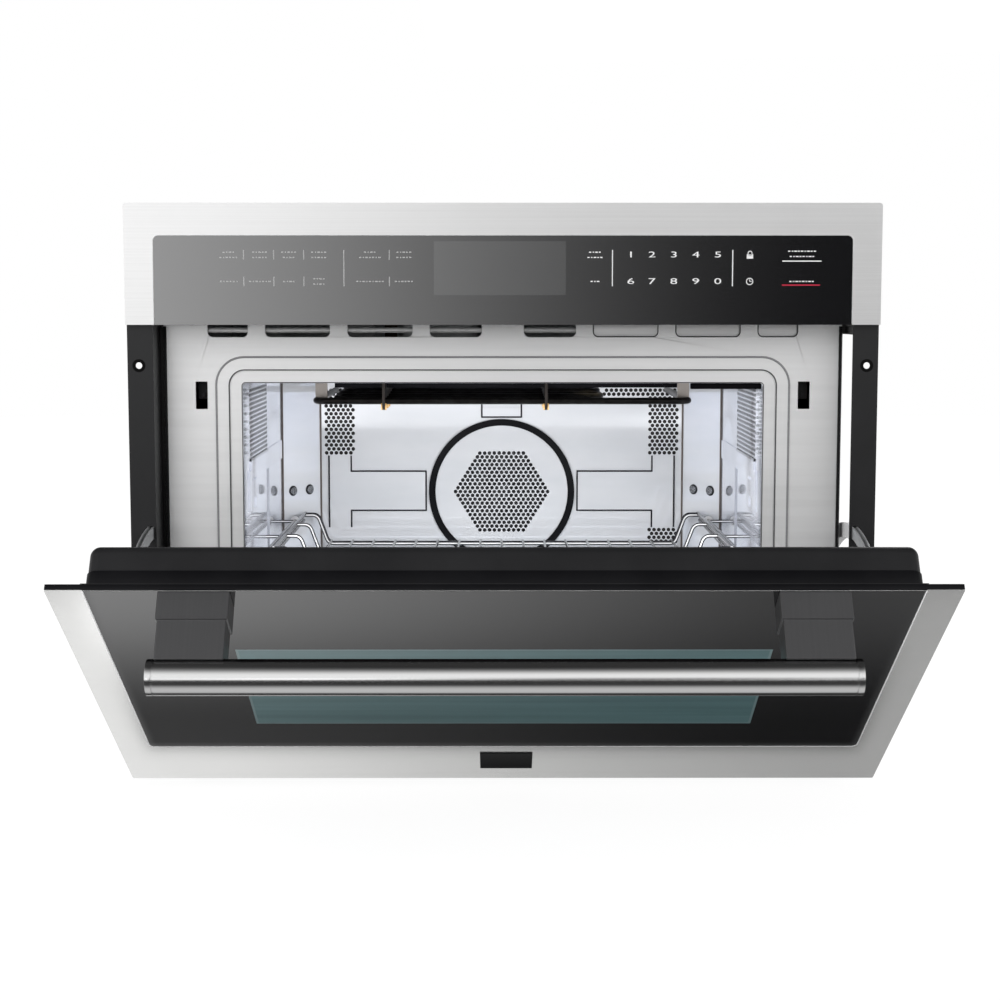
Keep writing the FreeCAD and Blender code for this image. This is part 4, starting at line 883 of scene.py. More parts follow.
    def turn_with_door(self) -> "Piece":
        """Turns a piece that was modelled on the closed door to the door as modelled.

        Returns:
            The piece.
        """
        for vertex in self.made.data.vertices:
            vertex.co = on_door(vertex.co.x, vertex.co.y - DOOR_FACE, vertex.co.z)
        return self

    def copy(self, move: Triple = (0.0, 0.0, 0.0)) -> "Piece":
        """Copies the piece with its own mesh.

        Args:
            move: how far the copy lies from it.

        Returns:
            The copy.
        """
        twin = self.made.copy()
        twin.data = self.made.data.copy()
        bpy.context.scene.collection.objects.link(twin)
        for vertex in twin.data.vertices:
            vertex.co += Vector(move)
        return Piece(twin)

    def remove(self) -> None:
        """Deletes the piece."""
        bpy.data.objects.remove(self.made)

    def dress(self, body: str, slot: str, finish: Finish, nodes: Iterable[str] = ()) -> None:
        """Gives the piece its finish and its body, and hides the nodes that it stands for.

        Args:
            body: the body it rides on.
            slot: not used.
            finish: its finish.
            nodes: the nodes it stands for.
        """
        self.made.data.materials.clear()
        self.made.data.materials.append(finish.material())
        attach(self.made, body)
        if nodes:
            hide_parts(*nodes)
        LOG.info("%s rides on %s", self.made.name, body)


# Sub-assemblies

REAR_FIELDS = (
    HoleField(184.4 * MM, 306.8 * MM, 6, 15),
    HoleField(-217.565 * MM, 306.8 * MM, 6, 15),
    HoleField(127.115 * MM, 379.7 * MM, 16, 2),
    HoleField(-220.58 * MM, 379.7 * MM, 16, 2),
    HoleField(184.4 * MM, 210.5 * MM, 6, 4, -4.86 * MM),
)
COVER_FIELDS = (HoleField(-57.285 * MM, 210.3 * MM, 20, 21, 4.81 * MM, 0.0, 0.627),)
SIDE_FIELDS = (HoleField(-198.0 * MM, 326.5 * MM, 25, 16),)
FRONT_GRAIN = (3.0, 700.0, 700.0)
NODE_FINISHES: tuple[tuple[Finish, str], ...] = (
    (Brushed("stainless_front", grey(0.90), 0.30, FRONT_GRAIN, 0.03, 0.03, 0.02, metallic=0.85), "fascia_frame"),
    (Brushed("stainless_door", (0.78, 0.78, 0.77), 0.26, FRONT_GRAIN, 0.03, 0.03, 0.02, metallic=0.8),
     "door_frame handle_bar"),
    (CavitySteel("cavity_steel", 142.25 * MM, REAR_FIELDS), "cavity_rear"),
    (CavitySteel("cover_steel", 141.25 * MM, COVER_FIELDS), "fan_cover"),
    # the side walls and floor take a darker, bluer copy of the cavity steel as painted shade
    (CavitySteel("side_steel_painted_shade", 142.25 * MM, SIDE_FIELDS, True, colour=(0.80, 0.825, 0.90), shade=(0.72, 0.75, 0.84),
                 metallic=0.72), "cavity_side_left cavity_side_right cavity_floor"),
    # the ceiling takes a near-black copy of the cavity steel as painted shade
    (Brushed("ceiling_steel_painted_shade", (0.05, 0.05, 0.055), 0.30, (8.0, 60.0, 8.0), metallic=0.5), "cavity_ceiling"),
    (Brushed("face_steel", (0.95, 0.95, 0.952), 0.36, (5.0, 90.0, 120.0), 0.03, 0.08, 0.02, metallic=0.5),
     "face_plate"),
    # the arm guides are near-white and not metallic so that they blend with the bright gap beside the strips:
    # painted light
    (Brushed("zinc_with_painted_light", grey(0.95), 0.50, 35.0, 0.05, 0.05, 0.02, metallic=0.0), "arm_guides"),
    # the fan and its plenum are near-black so that the cover's holes read dark: painted shade
    (Brushed("fan_steel_painted_shade", (0.10, 0.10, 0.105), 0.40, 90.0, metallic=0.6), "convection_fan fan_plenum"),
    (Brushed("plated_sheet", (0.60, 0.61, 0.62), 0.38, 35.0, 0.10, 0.10, 0.10, 0.00008, 0.6),
     "base_plate casing_side_left casing_side_right casing_top rear_panel waveguide component_deck blower_housing "
     "stay_arms"),
    (Brushed("zinc_steel", (0.50, 0.50, 0.51), 0.32, 80.0),
     "conduit_gland hinge_brackets hinge_arms latch_hooks cavity_screws convection_motor turntable_motor "
     "blower_motor cavity_lamp"),
    # the wires' colour runs from a painted highlight to painted shade at their outline
    (Polished("chromed_wire_painted_outline", (0.94, 0.94, 0.95), (0.02, 0.02, 0.025), (0.01, 0.12), 60.0, 0.12, 0.05, 0.4),
     "wire_rack rack_supports"),
    (Brushed("bracket_steel", (0.105, 0.105, 0.108), 0.40, (500.0, 6.0, 6.0), 0.03, 0.02, 0.03, metallic=0.6),
     "handle_brackets"),
    (Brushed("cast_aluminium", (0.64, 0.65, 0.66), 0.35, 90.0), "magnetron capacitor"),
    (Brushed("heater_sheath", (0.060, 0.056, 0.053), 0.36, 120.0, 0.1, 0.1, 0.15), "broil_element ring_heater"),
    (Enamel("door_enamel", (0.014, 0.014, 0.015), 0.42, specular=0.25), "door_liner door_choke_plate"),
    (Enamel("strip_paint", (0.010, 0.010, 0.011), 0.38, 700.0, specular=0.45), "side_strip_left side_strip_right"),
    (Enamel("black_plastic", (0.010, 0.010, 0.011), 0.50, 500.0, specular=0.3),
     "control_housing interlock_plungers interlock_switches blower_wheel"),
    (Enamel("white_plastic", (0.72, 0.72, 0.70), 0.40), "turntable_coupler roller_ring"),
    (Enamel("varnished_core", (0.10, 0.05, 0.02), 0.35), "transformer"),
    (Enamel("mica_sheet", (0.46, 0.40, 0.29), 0.45, 200.0, 0.0001), "waveguide_cover"),
    (Enamel("display_face", (0.012, 0.012, 0.014), 0.2), "display_module"),
    (Enamel("ring_enamel", (0.004, 0.004, 0.005), 0.30, specular=0.15), "fan_ring"),
    (Mottled("circuit_board", (0.02, 0.11, 0.05), (0.05, 0.19, 0.09), (40.0, 40.0, 900.0), 0.35, 0.1, 1.0,
             step=(0.48, 0.52)), "touch_board power_board"),
    # the insulation is dark fibre kept near-black so that the holes in front of it read dark: partly its own
    # colour, partly painted shade
    (Mottled("blanket", (0.011, 0.010, 0.009), (0.022, 0.020, 0.018), 160.0, 0.95, detail=6.0, weight=0.7,
             relief=0.002), "insulation"),
    (ClearGlass("turntable_glass", (0.80, 0.88, 0.88), 0.45), "turntable_glass"),
    (ClearGlass("inner_glass", (0.05, 0.065, 0.07), 0.85), "door_inner_glass"),
    (ClipFinish(), "element_clips"),
    (PanelGlass(), "control_glass"),
    (DoorGlass(), "door_glass"),
)


@dataclass
class Carcass:
    """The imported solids, dressed in their finishes."""

    edges: tuple[tuple[float, str], ...] = (
        (1.4 * MM, "handle_brackets"), (0.7 * MM, "fascia_frame door_frame"), (0.3 * MM, "casing_top"),
        (0.5 * MM, "control_glass door_glass face_plate"), (0.4 * MM, "hinge_brackets hinge_arms"))
    edge_segments: int = 3
    edge_angle: float = 40.0
    merge: float = 0.01 * MM

    def dress(self) -> None:
        """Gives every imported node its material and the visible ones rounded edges."""
        finishes = {node: finish for finish, nodes in NODE_FINISHES for node in nodes.split()}
        edges = {node: width for width, nodes in self.edges for node in nodes.split()}
        for node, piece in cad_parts.items():
            piece.data.materials.clear()
            piece.data.materials.append(finishes[node].material())
            if node in edges:
                piece.modifiers.new("merge", "WELD").merge_threshold = self.merge
                add_bevel(piece, edges[node], self.edge_segments, self.edge_angle)
            LOG.info("%s dressed", node)


@dataclass
class ControlMarks:
    """Printed marks of the control panel: rows of short dashes, bars, plain digits and two pictograms."""

    front_y: float = -295.8 * MM
    thickness: float = 0.12 * MM
    top_row: float = 539.6 * MM
    low_row: float = 513.2 * MM
    line_gap: float = 5.2 * MM
    dash_height: float = 1.15 * MM
    dash_widths: tuple[float, ...] = mm(2.2, 1.3, 2.7, 1.7)
    dash_step: float = 3.2 * MM
    columns: tuple[float, ...] = mm(-274.0, -243.0, -214.0, -184.0, -133.0, -99.1, 91.8)
    top_dashes: tuple[tuple[int, ...], ...] = ((4, 6), (5, 5), (5, 4), (5, 5), (4, 7), (5, 5), (4, 5))
    low_dashes: tuple[tuple[int, ...], ...] = ((6,), (7,), (4,), (4, 4), (9,), (6,), (3,))
    start_key: Span = mm(298.6, 540.6)
    start_dashes: tuple[int, ...] = (9, 8)
    clear_key: Span = mm(298.6, 513.2)
    clear_dashes: tuple[int, ...] = (8,)
    separators: tuple[float, ...] = mm(-259.0, -229.0, -199.0, -113.6)
    separator: Span = mm(0.9, 9.5)
    tall_bars: tuple[float, ...] = mm(-159.0, 109.3, 229.4)
    tall_bar: Span = mm(1.0, 36.0)
    digits_x: tuple[float, ...] = mm(127.7, 148.7, 170.7, 192.7, 214.7)
    digits: tuple[str, ...] = ("16", "27", "38", "49", "50")
    digit_size: float = 9.0 * MM
    digit_scale: Triple = (1.75, 0.92, 1.0)
    curve_steps: int = 4
    ring_vertices: int = 32
    clock_rings: tuple[tuple[float, ...], ...] = (mm(246.6, 513.2, 3.6, 0.8), mm(246.6, 541.2, 2.4, 0.8))
    bars: tuple[tuple[float, ...], ...] = (
        mm(246.6, 514.1, 0.7, 2.4), mm(247.5, 513.2, 2.2, 0.7), mm(246.6, 538.0, 6.4, 4.4),
        mm(298.6, 533.4, 39.0, 1.0))
    red_line: tuple[float, ...] = mm(298.0, 509.6, 38.0, 1.2)
    white: Finish = PanelPrint()
    red: Finish = Mottled("red_print", (0.50, 0.01, 0.04), (0.62, 0.02, 0.06), 900.0, 0.6)

    def bar(self, x: float, z: float, width: float, height: float, name: str = "mark") -> Piece:
        """Returns one printed bar with its centre at a place."""
        return Piece.box(name, (x, self.front_y - self.thickness / 2, z), (width, self.thickness, height))

    def legend(self, x: float, z: float, counts: tuple[int, ...]) -> list[Piece]:
        """Makes one or two centred rows of dashes about a height.

        Args:
            x: the centre.
            z: the height.
            counts: dashes in each row.

        Returns:
            The dashes.
        """
        top = z + self.line_gap * (len(counts) - 1) / 2
        widths = self.dash_widths
        return [self.bar(x + self.dash_step * (index - (count - 1) / 2), top - row * self.line_gap,
                         widths[index % len(widths)], self.dash_height)
                for row, count in enumerate(counts) for index in range(count)]

    def ring(self, x: float, z: float, radius: float, width: float) -> Piece:
        """Makes a printed ring.

        Args:
            x: its centre from left to right.
            z: its centre's height.
            radius: its radius.
            width: its line's width.

        Returns:
            The ring.
        """
        centre = (x, self.front_y - self.thickness / 2, z)
        made = Piece.rod("ring", centre, radius, self.thickness, Axis.Y, self.ring_vertices)
        for side in (1.0, -1.0):
            with made.editing(looks(side)):
                bpy.ops.mesh.inset(thickness=width, use_boundary=True)
                bpy.ops.mesh.delete(type="FACE")
        return made

    def digit(self, text: str, x: float, z: float) -> Piece:
        """Makes one plain digit.

        Args:
            text: the digit.
            x: its centre from left to right.
            z: its centre's height.

        Returns:
            The digit as a mesh.
        """
        bpy.ops.object.text_add(location=(x, self.front_y - self.thickness / 2, z), rotation=Axis.Y.value)
        letter = bpy.context.object.data
        letter.body = text
        letter.align_x = letter.align_y = "CENTER"
        letter.size = self.digit_size
        letter.extrude = self.thickness / 2
        letter.resolution_u = self.curve_steps
        bpy.context.object.scale = self.digit_scale
        bpy.ops.object.convert(target="MESH")
        return Piece.added("digit")

    def build(self) -> None:
        """Makes the white marks and the red one."""
        pieces: list[Piece] = []
        for x, top, low in zip(self.columns, self.top_dashes, self.low_dashes):
            pieces += self.legend(x, self.top_row, top) + self.legend(x, self.low_row, low)
        pieces += self.legend(*self.start_key, self.start_dashes)
        pieces += self.legend(*self.clear_key, self.clear_dashes)
        pieces += [self.bar(x, z, *self.separator) for x in self.separators for z in (self.top_row, self.low_row)]
        middle = (self.top_row + self.low_row) / 2
        pieces += [self.bar(x, middle, *self.tall_bar) for x in self.tall_bars]
        for x, (top, low) in zip(self.digits_x, self.digits):
            pieces += [self.digit(top, x, self.top_row), self.digit(low, x, self.low_row)]
        pieces += [self.ring(*row) for row in self.clock_rings] + [self.bar(*row) for row in self.bars]
        Piece.join("panel_marks", pieces).dress("oven", "white_plastic", self.white)
        self.bar(*self.red_line, "panel_red_line").dress("oven", "white_plastic", self.red)


@dataclass
class Handle:
    """The bar handle: a brushed tube with rounded ends and a thin groove before each, coloured bright along its
    middle and near-black at its outline as painted highlight and painted shade.
    """

    radius: float = 15.0 * MM
    half_length: float = 290.0 * MM
    stand: float = 70.0 * MM
    height: float = 449.0 * MM
    groove_inset: float = 5.0 * MM
    groove_width: float = 0.8 * MM
    groove_depth: float = 0.5 * MM
    end_round: float = 0.2 * MM
    end_steps: int = 4
    vertices: int = 96
    # the bar's colour is bright in the middle and near-black at its outline: painted highlight and painted shade
    steel: Finish = Polished("handle_steel_painted_outline", grey(0.80), grey(0.04), (0.42, 0.60), (5.0, 1200.0, 1200.0),
                             0.19, 0.03, relief=0.00002)

    def build(self) -> None:
        """Makes the bar."""
        centre = on_door(0.0, -self.stand, self.height)
        bar = Piece.rod("handle_tube", tuple(centre), self.radius, self.half_length * 2, Axis.X, self.vertices)
        for side in (1.0, -1.0):
            edge = side * (self.half_length - self.groove_inset)
            self.groove(bar, centre, tuple(sorted((edge, edge - side * self.groove_width))))
        bar.bevel(self.end_round, self.end_steps, ROUND_ANGLE)
        bar.dress("door", "stainless", self.steel, ("handle_bar",))

    def groove(self, bar: Piece, centre: Vector, span: tuple[float, ...]) -> None:
        """Turns a groove into the bar.

        Args:
            bar: the bar.
            centre: the bar's middle.
            span: where the groove starts and ends.
        """
        for place in span:
            with bar.editing():
                bpy.ops.mesh.bisect(plane_co=(place, centre.y, centre.z), plane_no=(1.0, 0.0, 0.0))
        shrink = (self.radius - self.groove_depth) / self.radius
        with bar.editing(lambda face: span[0] < face.center.x < span[1]):
            bpy.ops.mesh.extrude_region_move()
            bpy.ops.transform.resize(value=(1.0, shrink, shrink), center_override=tuple(centre))


@dataclass
class BlankPlate:
    """The small blank plate on the door frame."""

    centre_x: float = 3.0 * MM
    height: float = 83.5 * MM
    width: float = 52.0 * MM
    tall: float = 41.0 * MM
    thickness: float = 1.0 * MM
    rim: float = 1.2 * MM
    sunk: float = 0.4 * MM
    edge: float = 0.15 * MM
    lacquer: Finish = Mottled("plate_lacquer", (0.004, 0.004, 0.005), (0.006, 0.006, 0.007), 500.0, 0.5, 0.1,
                              specular=0.05)

    def build(self) -> None:
        """Makes the plate with a raised rim."""
        centre = (self.centre_x, DOOR_FACE - self.thickness / 2, self.height)
        plate = Piece.box("blank_plate", centre, (self.width, self.thickness, self.tall))
        plate.sink(-1.0, self.rim, self.sunk)
        plate.bevel(self.edge).turn_with_door().dress("door", "black_plastic", self.lacquer)


@dataclass
class CasingScrews:
    """Pan-head screws along the casing's rear and top edges."""

    radius: float = 3.8 * MM
    head: float = 2.0 * MM
    recess: float = 1.1 * MM
    slope: float = 2.09 * MM
    edge: float = 0.5 * MM
    edge_steps: int = 3
    vertices: int = 24
    first: Triple = mm(-340.0, 248.0, 9.0)
    across: tuple[float, ...] = mm(0.0, 226.0, 452.0, 680.0)
    rows: Span = mm(0.0, 557.0)
    side_rows: Span = mm(185.0, 371.0)
    zinc: Finish = Brushed("screw_zinc", (0.50, 0.50, 0.52), 0.3, 120.0)

    def build(self) -> None:
        """Makes the screws round the rear panel, the first one on its lower left corner."""
        x, y, z = self.first
        screw = Piece.rod("casing_screw", (x, y + self.head / 2, z), self.radius, self.head, Axis.Y, self.vertices)
        screw.sink(1.0, self.slope, -self.recess)
        screw.bevel(self.edge, self.edge_steps)
        places = [(x, z) for x in self.across for z in self.rows]
        places += [(x, z) for x in (self.across[0], self.across[-1]) for z in self.side_rows]
        copies = [screw.copy((x, 0.0, z)) for x, z in places[1:]]
        Piece.join("casing_screws", [screw] + copies).dress("oven", "steel_part", self.zinc)


@dataclass
class CavityScrews:
    """Cross-recessed screws in the cavity's corner panels, on washers painted near-black as shade round each head.
    """

    radius: float = 4.6 * MM
    head: float = 2.2 * MM
    slope_share: float = 0.3
    top_share: float = 0.68
    edge: float = 0.15 * MM
    washer_radius: float = 6.4 * MM
    washer: float = 0.5 * MM
    washer_edge: float = 0.2 * MM
    recess_half: float = 0.75 * MM
    recess_depth: float = 1.0 * MM
    vertices: int = 24
    height: float = 262.4 * MM
    turn: float = math.radians(45.0)
    places: tuple[Span, ...] = (mm(256.39, 110.61), mm(237.9, 129.1))
    steel: Finish = Brushed("screw_head", (0.36, 0.365, 0.38), 0.25, 200.0, metallic=0.8)
    washer_shade: Finish = Enamel("washer_painted_shade", (0.012, 0.012, 0.014), 0.4, specular=0.3)

    def head_piece(self) -> Piece:
        """Makes a screw head at the origin, its axis along Y and its face towards the front.

        Returns:
            The head.
        """
        centre = (0.0, -self.washer - self.head / 2, 0.0)
        made = Piece.rod("cavity_screw", centre, self.radius, self.head, Axis.Y, self.vertices)
        with made.editing(looks(-1.0)):
            bpy.ops.mesh.inset(thickness=self.radius * self.slope_share)
        for axis in ((1.0, 0.0, 0.0), (0.0, 0.0, 1.0)):
            for side in (-1.0, 1.0):
                with made.editing(self.is_top):
                    cut = tuple(side * self.recess_half * share for share in axis)
                    bpy.ops.mesh.bisect(plane_co=cut, plane_no=axis)
        with made.editing(self.in_recess):
            bpy.ops.mesh.extrude_region_move(TRANSFORM_OT_translate={"value": (0.0, self.recess_depth, 0.0)})
        return made.bevel(self.edge, angle=ROUND_ANGLE)

    def is_top(self, face: bpy.types.MeshPolygon) -> bool:
        """Returns whether a face belongs to the inner disc of the head's top."""
        return looks(-1.0)(face) and math.hypot(face.center.x, face.center.z) < self.radius * self.top_share

    def in_recess(self, face: bpy.types.MeshPolygon) -> bool:
        """Returns whether a face belongs to the cross."""
        return self.is_top(face) and min(abs(face.center.x), abs(face.center.z)) < self.recess_half

    def placed(self, made: Piece) -> list[Piece]:
        """Puts copies of a piece at the four places and uses the piece up.

        Args:
            made: a piece at the origin that faces the front.

        Returns:
            The four copies.
        """
        copies = []
        for side in (1.0, -1.0):
            for x, y in self.places:
                copy = made.copy()
                copy.hold()
                copy.made.rotation_euler = (0.0, 0.0, -side * self.turn)
                copy.made.location = (side * x, y, self.height)
                copies.append(copy.settle())
        made.remove()
        return copies

    def build(self) -> None:
        """Makes the four heads and their washers."""
        head = self.head_piece()
        centre = (0.0, -self.washer / 2, 0.0)
        ring = Piece.rod("washer", centre, self.washer_radius, self.washer, Axis.Y, self.vertices)
        ring.bevel(self.washer_edge)
        heads = Piece.join("cavity_screw_heads", self.placed(head))
        heads.dress("oven", "steel_part", self.steel, ("cavity_screws",))
        # the washers' near-black is painted shade round the heads
        Piece.join("cavity_screw_shade_washers", self.placed(ring)).dress("oven", "black_enamel", self.washer_shade)


@dataclass(frozen=True)
class Line:
    """A thin rounded frame, which can be cut open at a height, above (side 1) or below (side -1)."""

    name: str
    outline: Outline
    width: float
    depths: Span
    finish: Finish
    body: str = "oven"
    slot: str = "stainless"
    cut: Span | None = None

    def build(self) -> None:
        """Makes and dresses the line, which turns with the door when it rides on it."""
        made = Piece.frame(self.name, self.outline, self.width, self.depths)
        if self.cut:
            height, side = self.cut
            with made.editing():
                bpy.ops.mesh.bisect(plane_co=(0.0, 0.0, height), plane_no=(0.0, 0.0, side),
                                    use_fill=True, clear_outer=True)
        if self.body == "door":
            made.turn_with_door()
        made.dress(self.body, self.slot, self.finish)


EDGE_SHADE = Brushed("edge_shade", (0.10, 0.10, 0.105), 0.40, metallic=0.5)
COLLAR_BLACK = Enamel("collar_black", (0.004, 0.004, 0.005), 0.45, specular=0.15)


@dataclass
class FrontTrim:
    """Thin dressing of the front: lines of painted shade and painted highlight, rims of painted shade round the air
    slots, screw dimples painted dark as shade, louvre, baffle and plate edges of painted shadow.
    """

    lines: tuple[Line, ...] = (
        # the bead and mouth lines are dark strips of painted shade along the bead's edges and round the mouth
        Line("bead_outer_shade_line", Outline(*mm(296.2, 82.1, 437.5, 29.7)), 2.2 * MM, mm(-249.6, -248.0),
             Brushed("bead_shade", (0.34, 0.34, 0.35), 0.45, metallic=0.5)),
        Line("bead_inner_shade_line", Outline(*mm(282.6, 95.7, 423.9, 16.6)), 1.2 * MM, mm(-249.6, -248.0), EDGE_SHADE),
        Line("mouth_shade_line", Outline(*mm(269.4, 108.9, 410.7, 4.1)), 0.96 * MM, mm(-248.3, -247.0), EDGE_SHADE),
        # the panel rim is a pale line along the glass edge: painted highlight
        Line("panel_highlight_rim", Outline(*mm(350.2, 469.9, 559.6, 6.6), Corners.TOP), 0.9 * MM, mm(-295.98, -294.5),
             Brushed("rim_steel_painted_highlight", grey(0.95), 0.25, metallic=0.3), cut=(471.3 * MM, -1.0)),
        # the door-glass rim is a white line along the glass edge: painted highlight
        Line("door_glass_highlight_rim", Outline(*mm(347.9, 119.2, 466.9, 6.9), Corners.BOTTOM), 1.3 * MM, mm(-296.2, -294.5),
             Enamel("rim_white_painted_highlight", grey(0.93), 0.3, specular=0.6), "door", cut=(465.5 * MM, 1.0)),
    )
    edge_x: float = 347.2 * MM
    edge_y: float = -248.3 * MM
    edge_width: float = 3.0 * MM
    edge_heights: Span = mm(20.0, 468.0)
    plate_bevel: float = 0.3 * MM
    hole_x: float = 367.0 * MM
    hole_heights: Span = mm(429.0, 60.0)
    strip_front: float = -288.0 * MM
    dimple_depth: float = 0.3 * MM
    dimple_radius: float = 6.5 * MM
    dimple_hole: float = 3.5 * MM
    hole_reach: float = 3.675 * MM
    dimple_vertices: int = 32
    louvre_radius: float = 2.8 * MM
    louvre_length: float = 612.0 * MM
    louvre_place: Span = mm(-242.6, 464.0)
    louvre_vertices: int = 24
    louvre_bevel: float = 0.6 * MM
    baffle_bevel: float = 0.2 * MM
    slot_spans: tuple[Span, ...] = (mm(92.8, 159.7), mm(177.7, 244.2), mm(262.2, 303.4))
    slot_heights: Span = mm(456.7, 472.0)
    slot_depths: Span = mm(-248.2, -247.0)
    slot_round: float = 5.9 * MM
    slot_lap: float = 0.4 * MM
    slot_rim: float = 1.1 * MM
    baffle: tuple[Span, ...] = (mm(88.0, 322.0), mm(-246.6, -246.0), mm(454.0, 474.0))
    shadow: Finish = Enamel("shadow_edge", (0.010, 0.010, 0.011), 0.5, specular=0.2)
    dimple_shade: Finish = Enamel("dimple_shade", grey(0.003), 0.7, specular=0.1)
    slot_shade: Finish = Enamel("slot_shade", (0.02, 0.02, 0.021), 0.5, specular=0.2)
    louvre_steel: Finish = Brushed("louvre_steel", grey(0.92), 0.22, metallic=0.3)
    baffle_steel: Finish = Brushed("baffle_steel", grey(0.90), 0.35, metallic=0.3)

    def build(self) -> None:
        """Makes every piece."""
        self.slot_shade_rims()
        for line in self.lines:
            line.build()
        self.dimples()
        self.louvre()
        self.plate_edges()

    def slot_shade_rims(self) -> None:
        """Makes the dark edges of painted shade round the three air slots that a baffle closes."""
        shade_rims = []
        for start, end in self.slot_spans:
            half = (end - start) / 2 + self.slot_lap
            outline = Outline(half, *self.slot_heights, self.slot_round, Corners.BOTTOM)
            rim = Piece.frame("slot_rim", outline, self.slot_rim, self.slot_depths)
            shade_rims.append(rim.copy(((start + end) / 2, 0.0, 0.0)))
            rim.remove()
        Piece.join("slot_shade_rims", shade_rims).dress("oven", "stainless", self.slot_shade)

    def plate_edges(self) -> None:
        """Makes the dark upright edges on both sides of the face plate."""
        low, high = self.edge_heights
        size = (self.edge_width, self.edge_width / 2, high - low)
        right = Piece.box("plate_edges", (self.edge_x, self.edge_y, (low + high) / 2), size)
        right.bevel(self.plate_bevel)
        left = right.copy((-2 * self.edge_x, 0.0, 0.0))
        Piece.join("plate_edges", [right, left]).dress("oven", "black_enamel", self.shadow)

    def dimples(self) -> None:
        """Makes the cups round the strips' screw holes, painted near-black as shade in the recess."""
        centre = (self.hole_x, self.strip_front - self.dimple_depth / 2, self.hole_heights[0])
        first = Piece.rod("strip_dimples", centre, self.dimple_radius, self.dimple_depth, Axis.Y,
                          self.dimple_vertices)
        for side in (-1.0, 1.0):
            with first.editing(looks(side)):
                bpy.ops.mesh.inset(thickness=self.dimple_radius - self.dimple_hole)
        with first.editing(self.in_hole):
            bpy.ops.mesh.bridge_edge_loops()
        drop = self.hole_heights[1] - self.hole_heights[0]
        places = ((-2 * self.hole_x, 0.0, 0.0), (0.0, 0.0, drop), (-2 * self.hole_x, 0.0, drop))
        cups = Piece.join("strip_dimples", [first] + [first.copy(place) for place in places])
        cups.dress("oven", "black_enamel", self.dimple_shade)

    def in_hole(self, face: bpy.types.MeshPolygon) -> bool:
        """Returns whether a face of the upper right cup is one of the two discs over its hole."""
        off = math.hypot(face.center.x - self.hole_x, face.center.z - self.hole_heights[0])
        return abs(face.normal.y) > SQUARE_ON and off < self.hole_reach and face.area > self.dimple_hole ** 2

    def louvre(self) -> None:
        """Makes the polished bar and the baffle behind the air slots."""
        bar = Piece.rod("air_louvre", (0.0, *self.louvre_place), self.louvre_radius, self.louvre_length, Axis.X,
                        self.louvre_vertices)
        bar.bevel(self.louvre_bevel, angle=ROUND_ANGLE).dress("oven", "stainless", self.louvre_steel)
        baffle = Piece.block("air_baffle", *self.baffle).bevel(self.baffle_bevel)
        baffle.dress("oven", "stainless", self.baffle_steel)


@dataclass
class DoorTrim:
    """The collar round the door's tub and the dark upper edge of its panel, modelled on the closed door."""

    collar: Line = Line("door_collar", Outline(*mm(346.9, 46.0, 465.0, 10.0)), 2.4 * MM, mm(-290.2, -276.6),
                        COLLAR_BLACK, "door", "black_enamel", (120.0 * MM, -1.0))
    spans: tuple[Span, ...] = (mm(-378.2, 378.2), mm(-295.7, -290.7), mm(466.9, 467.3))
    edge: float = 0.12 * MM

    def build(self) -> None:
        """Makes both pieces."""
        self.collar.build()
        edge = Piece.block("door_top_edge", *self.spans).bevel(self.edge).turn_with_door()
        edge.dress("door", "black_enamel", COLLAR_BLACK)


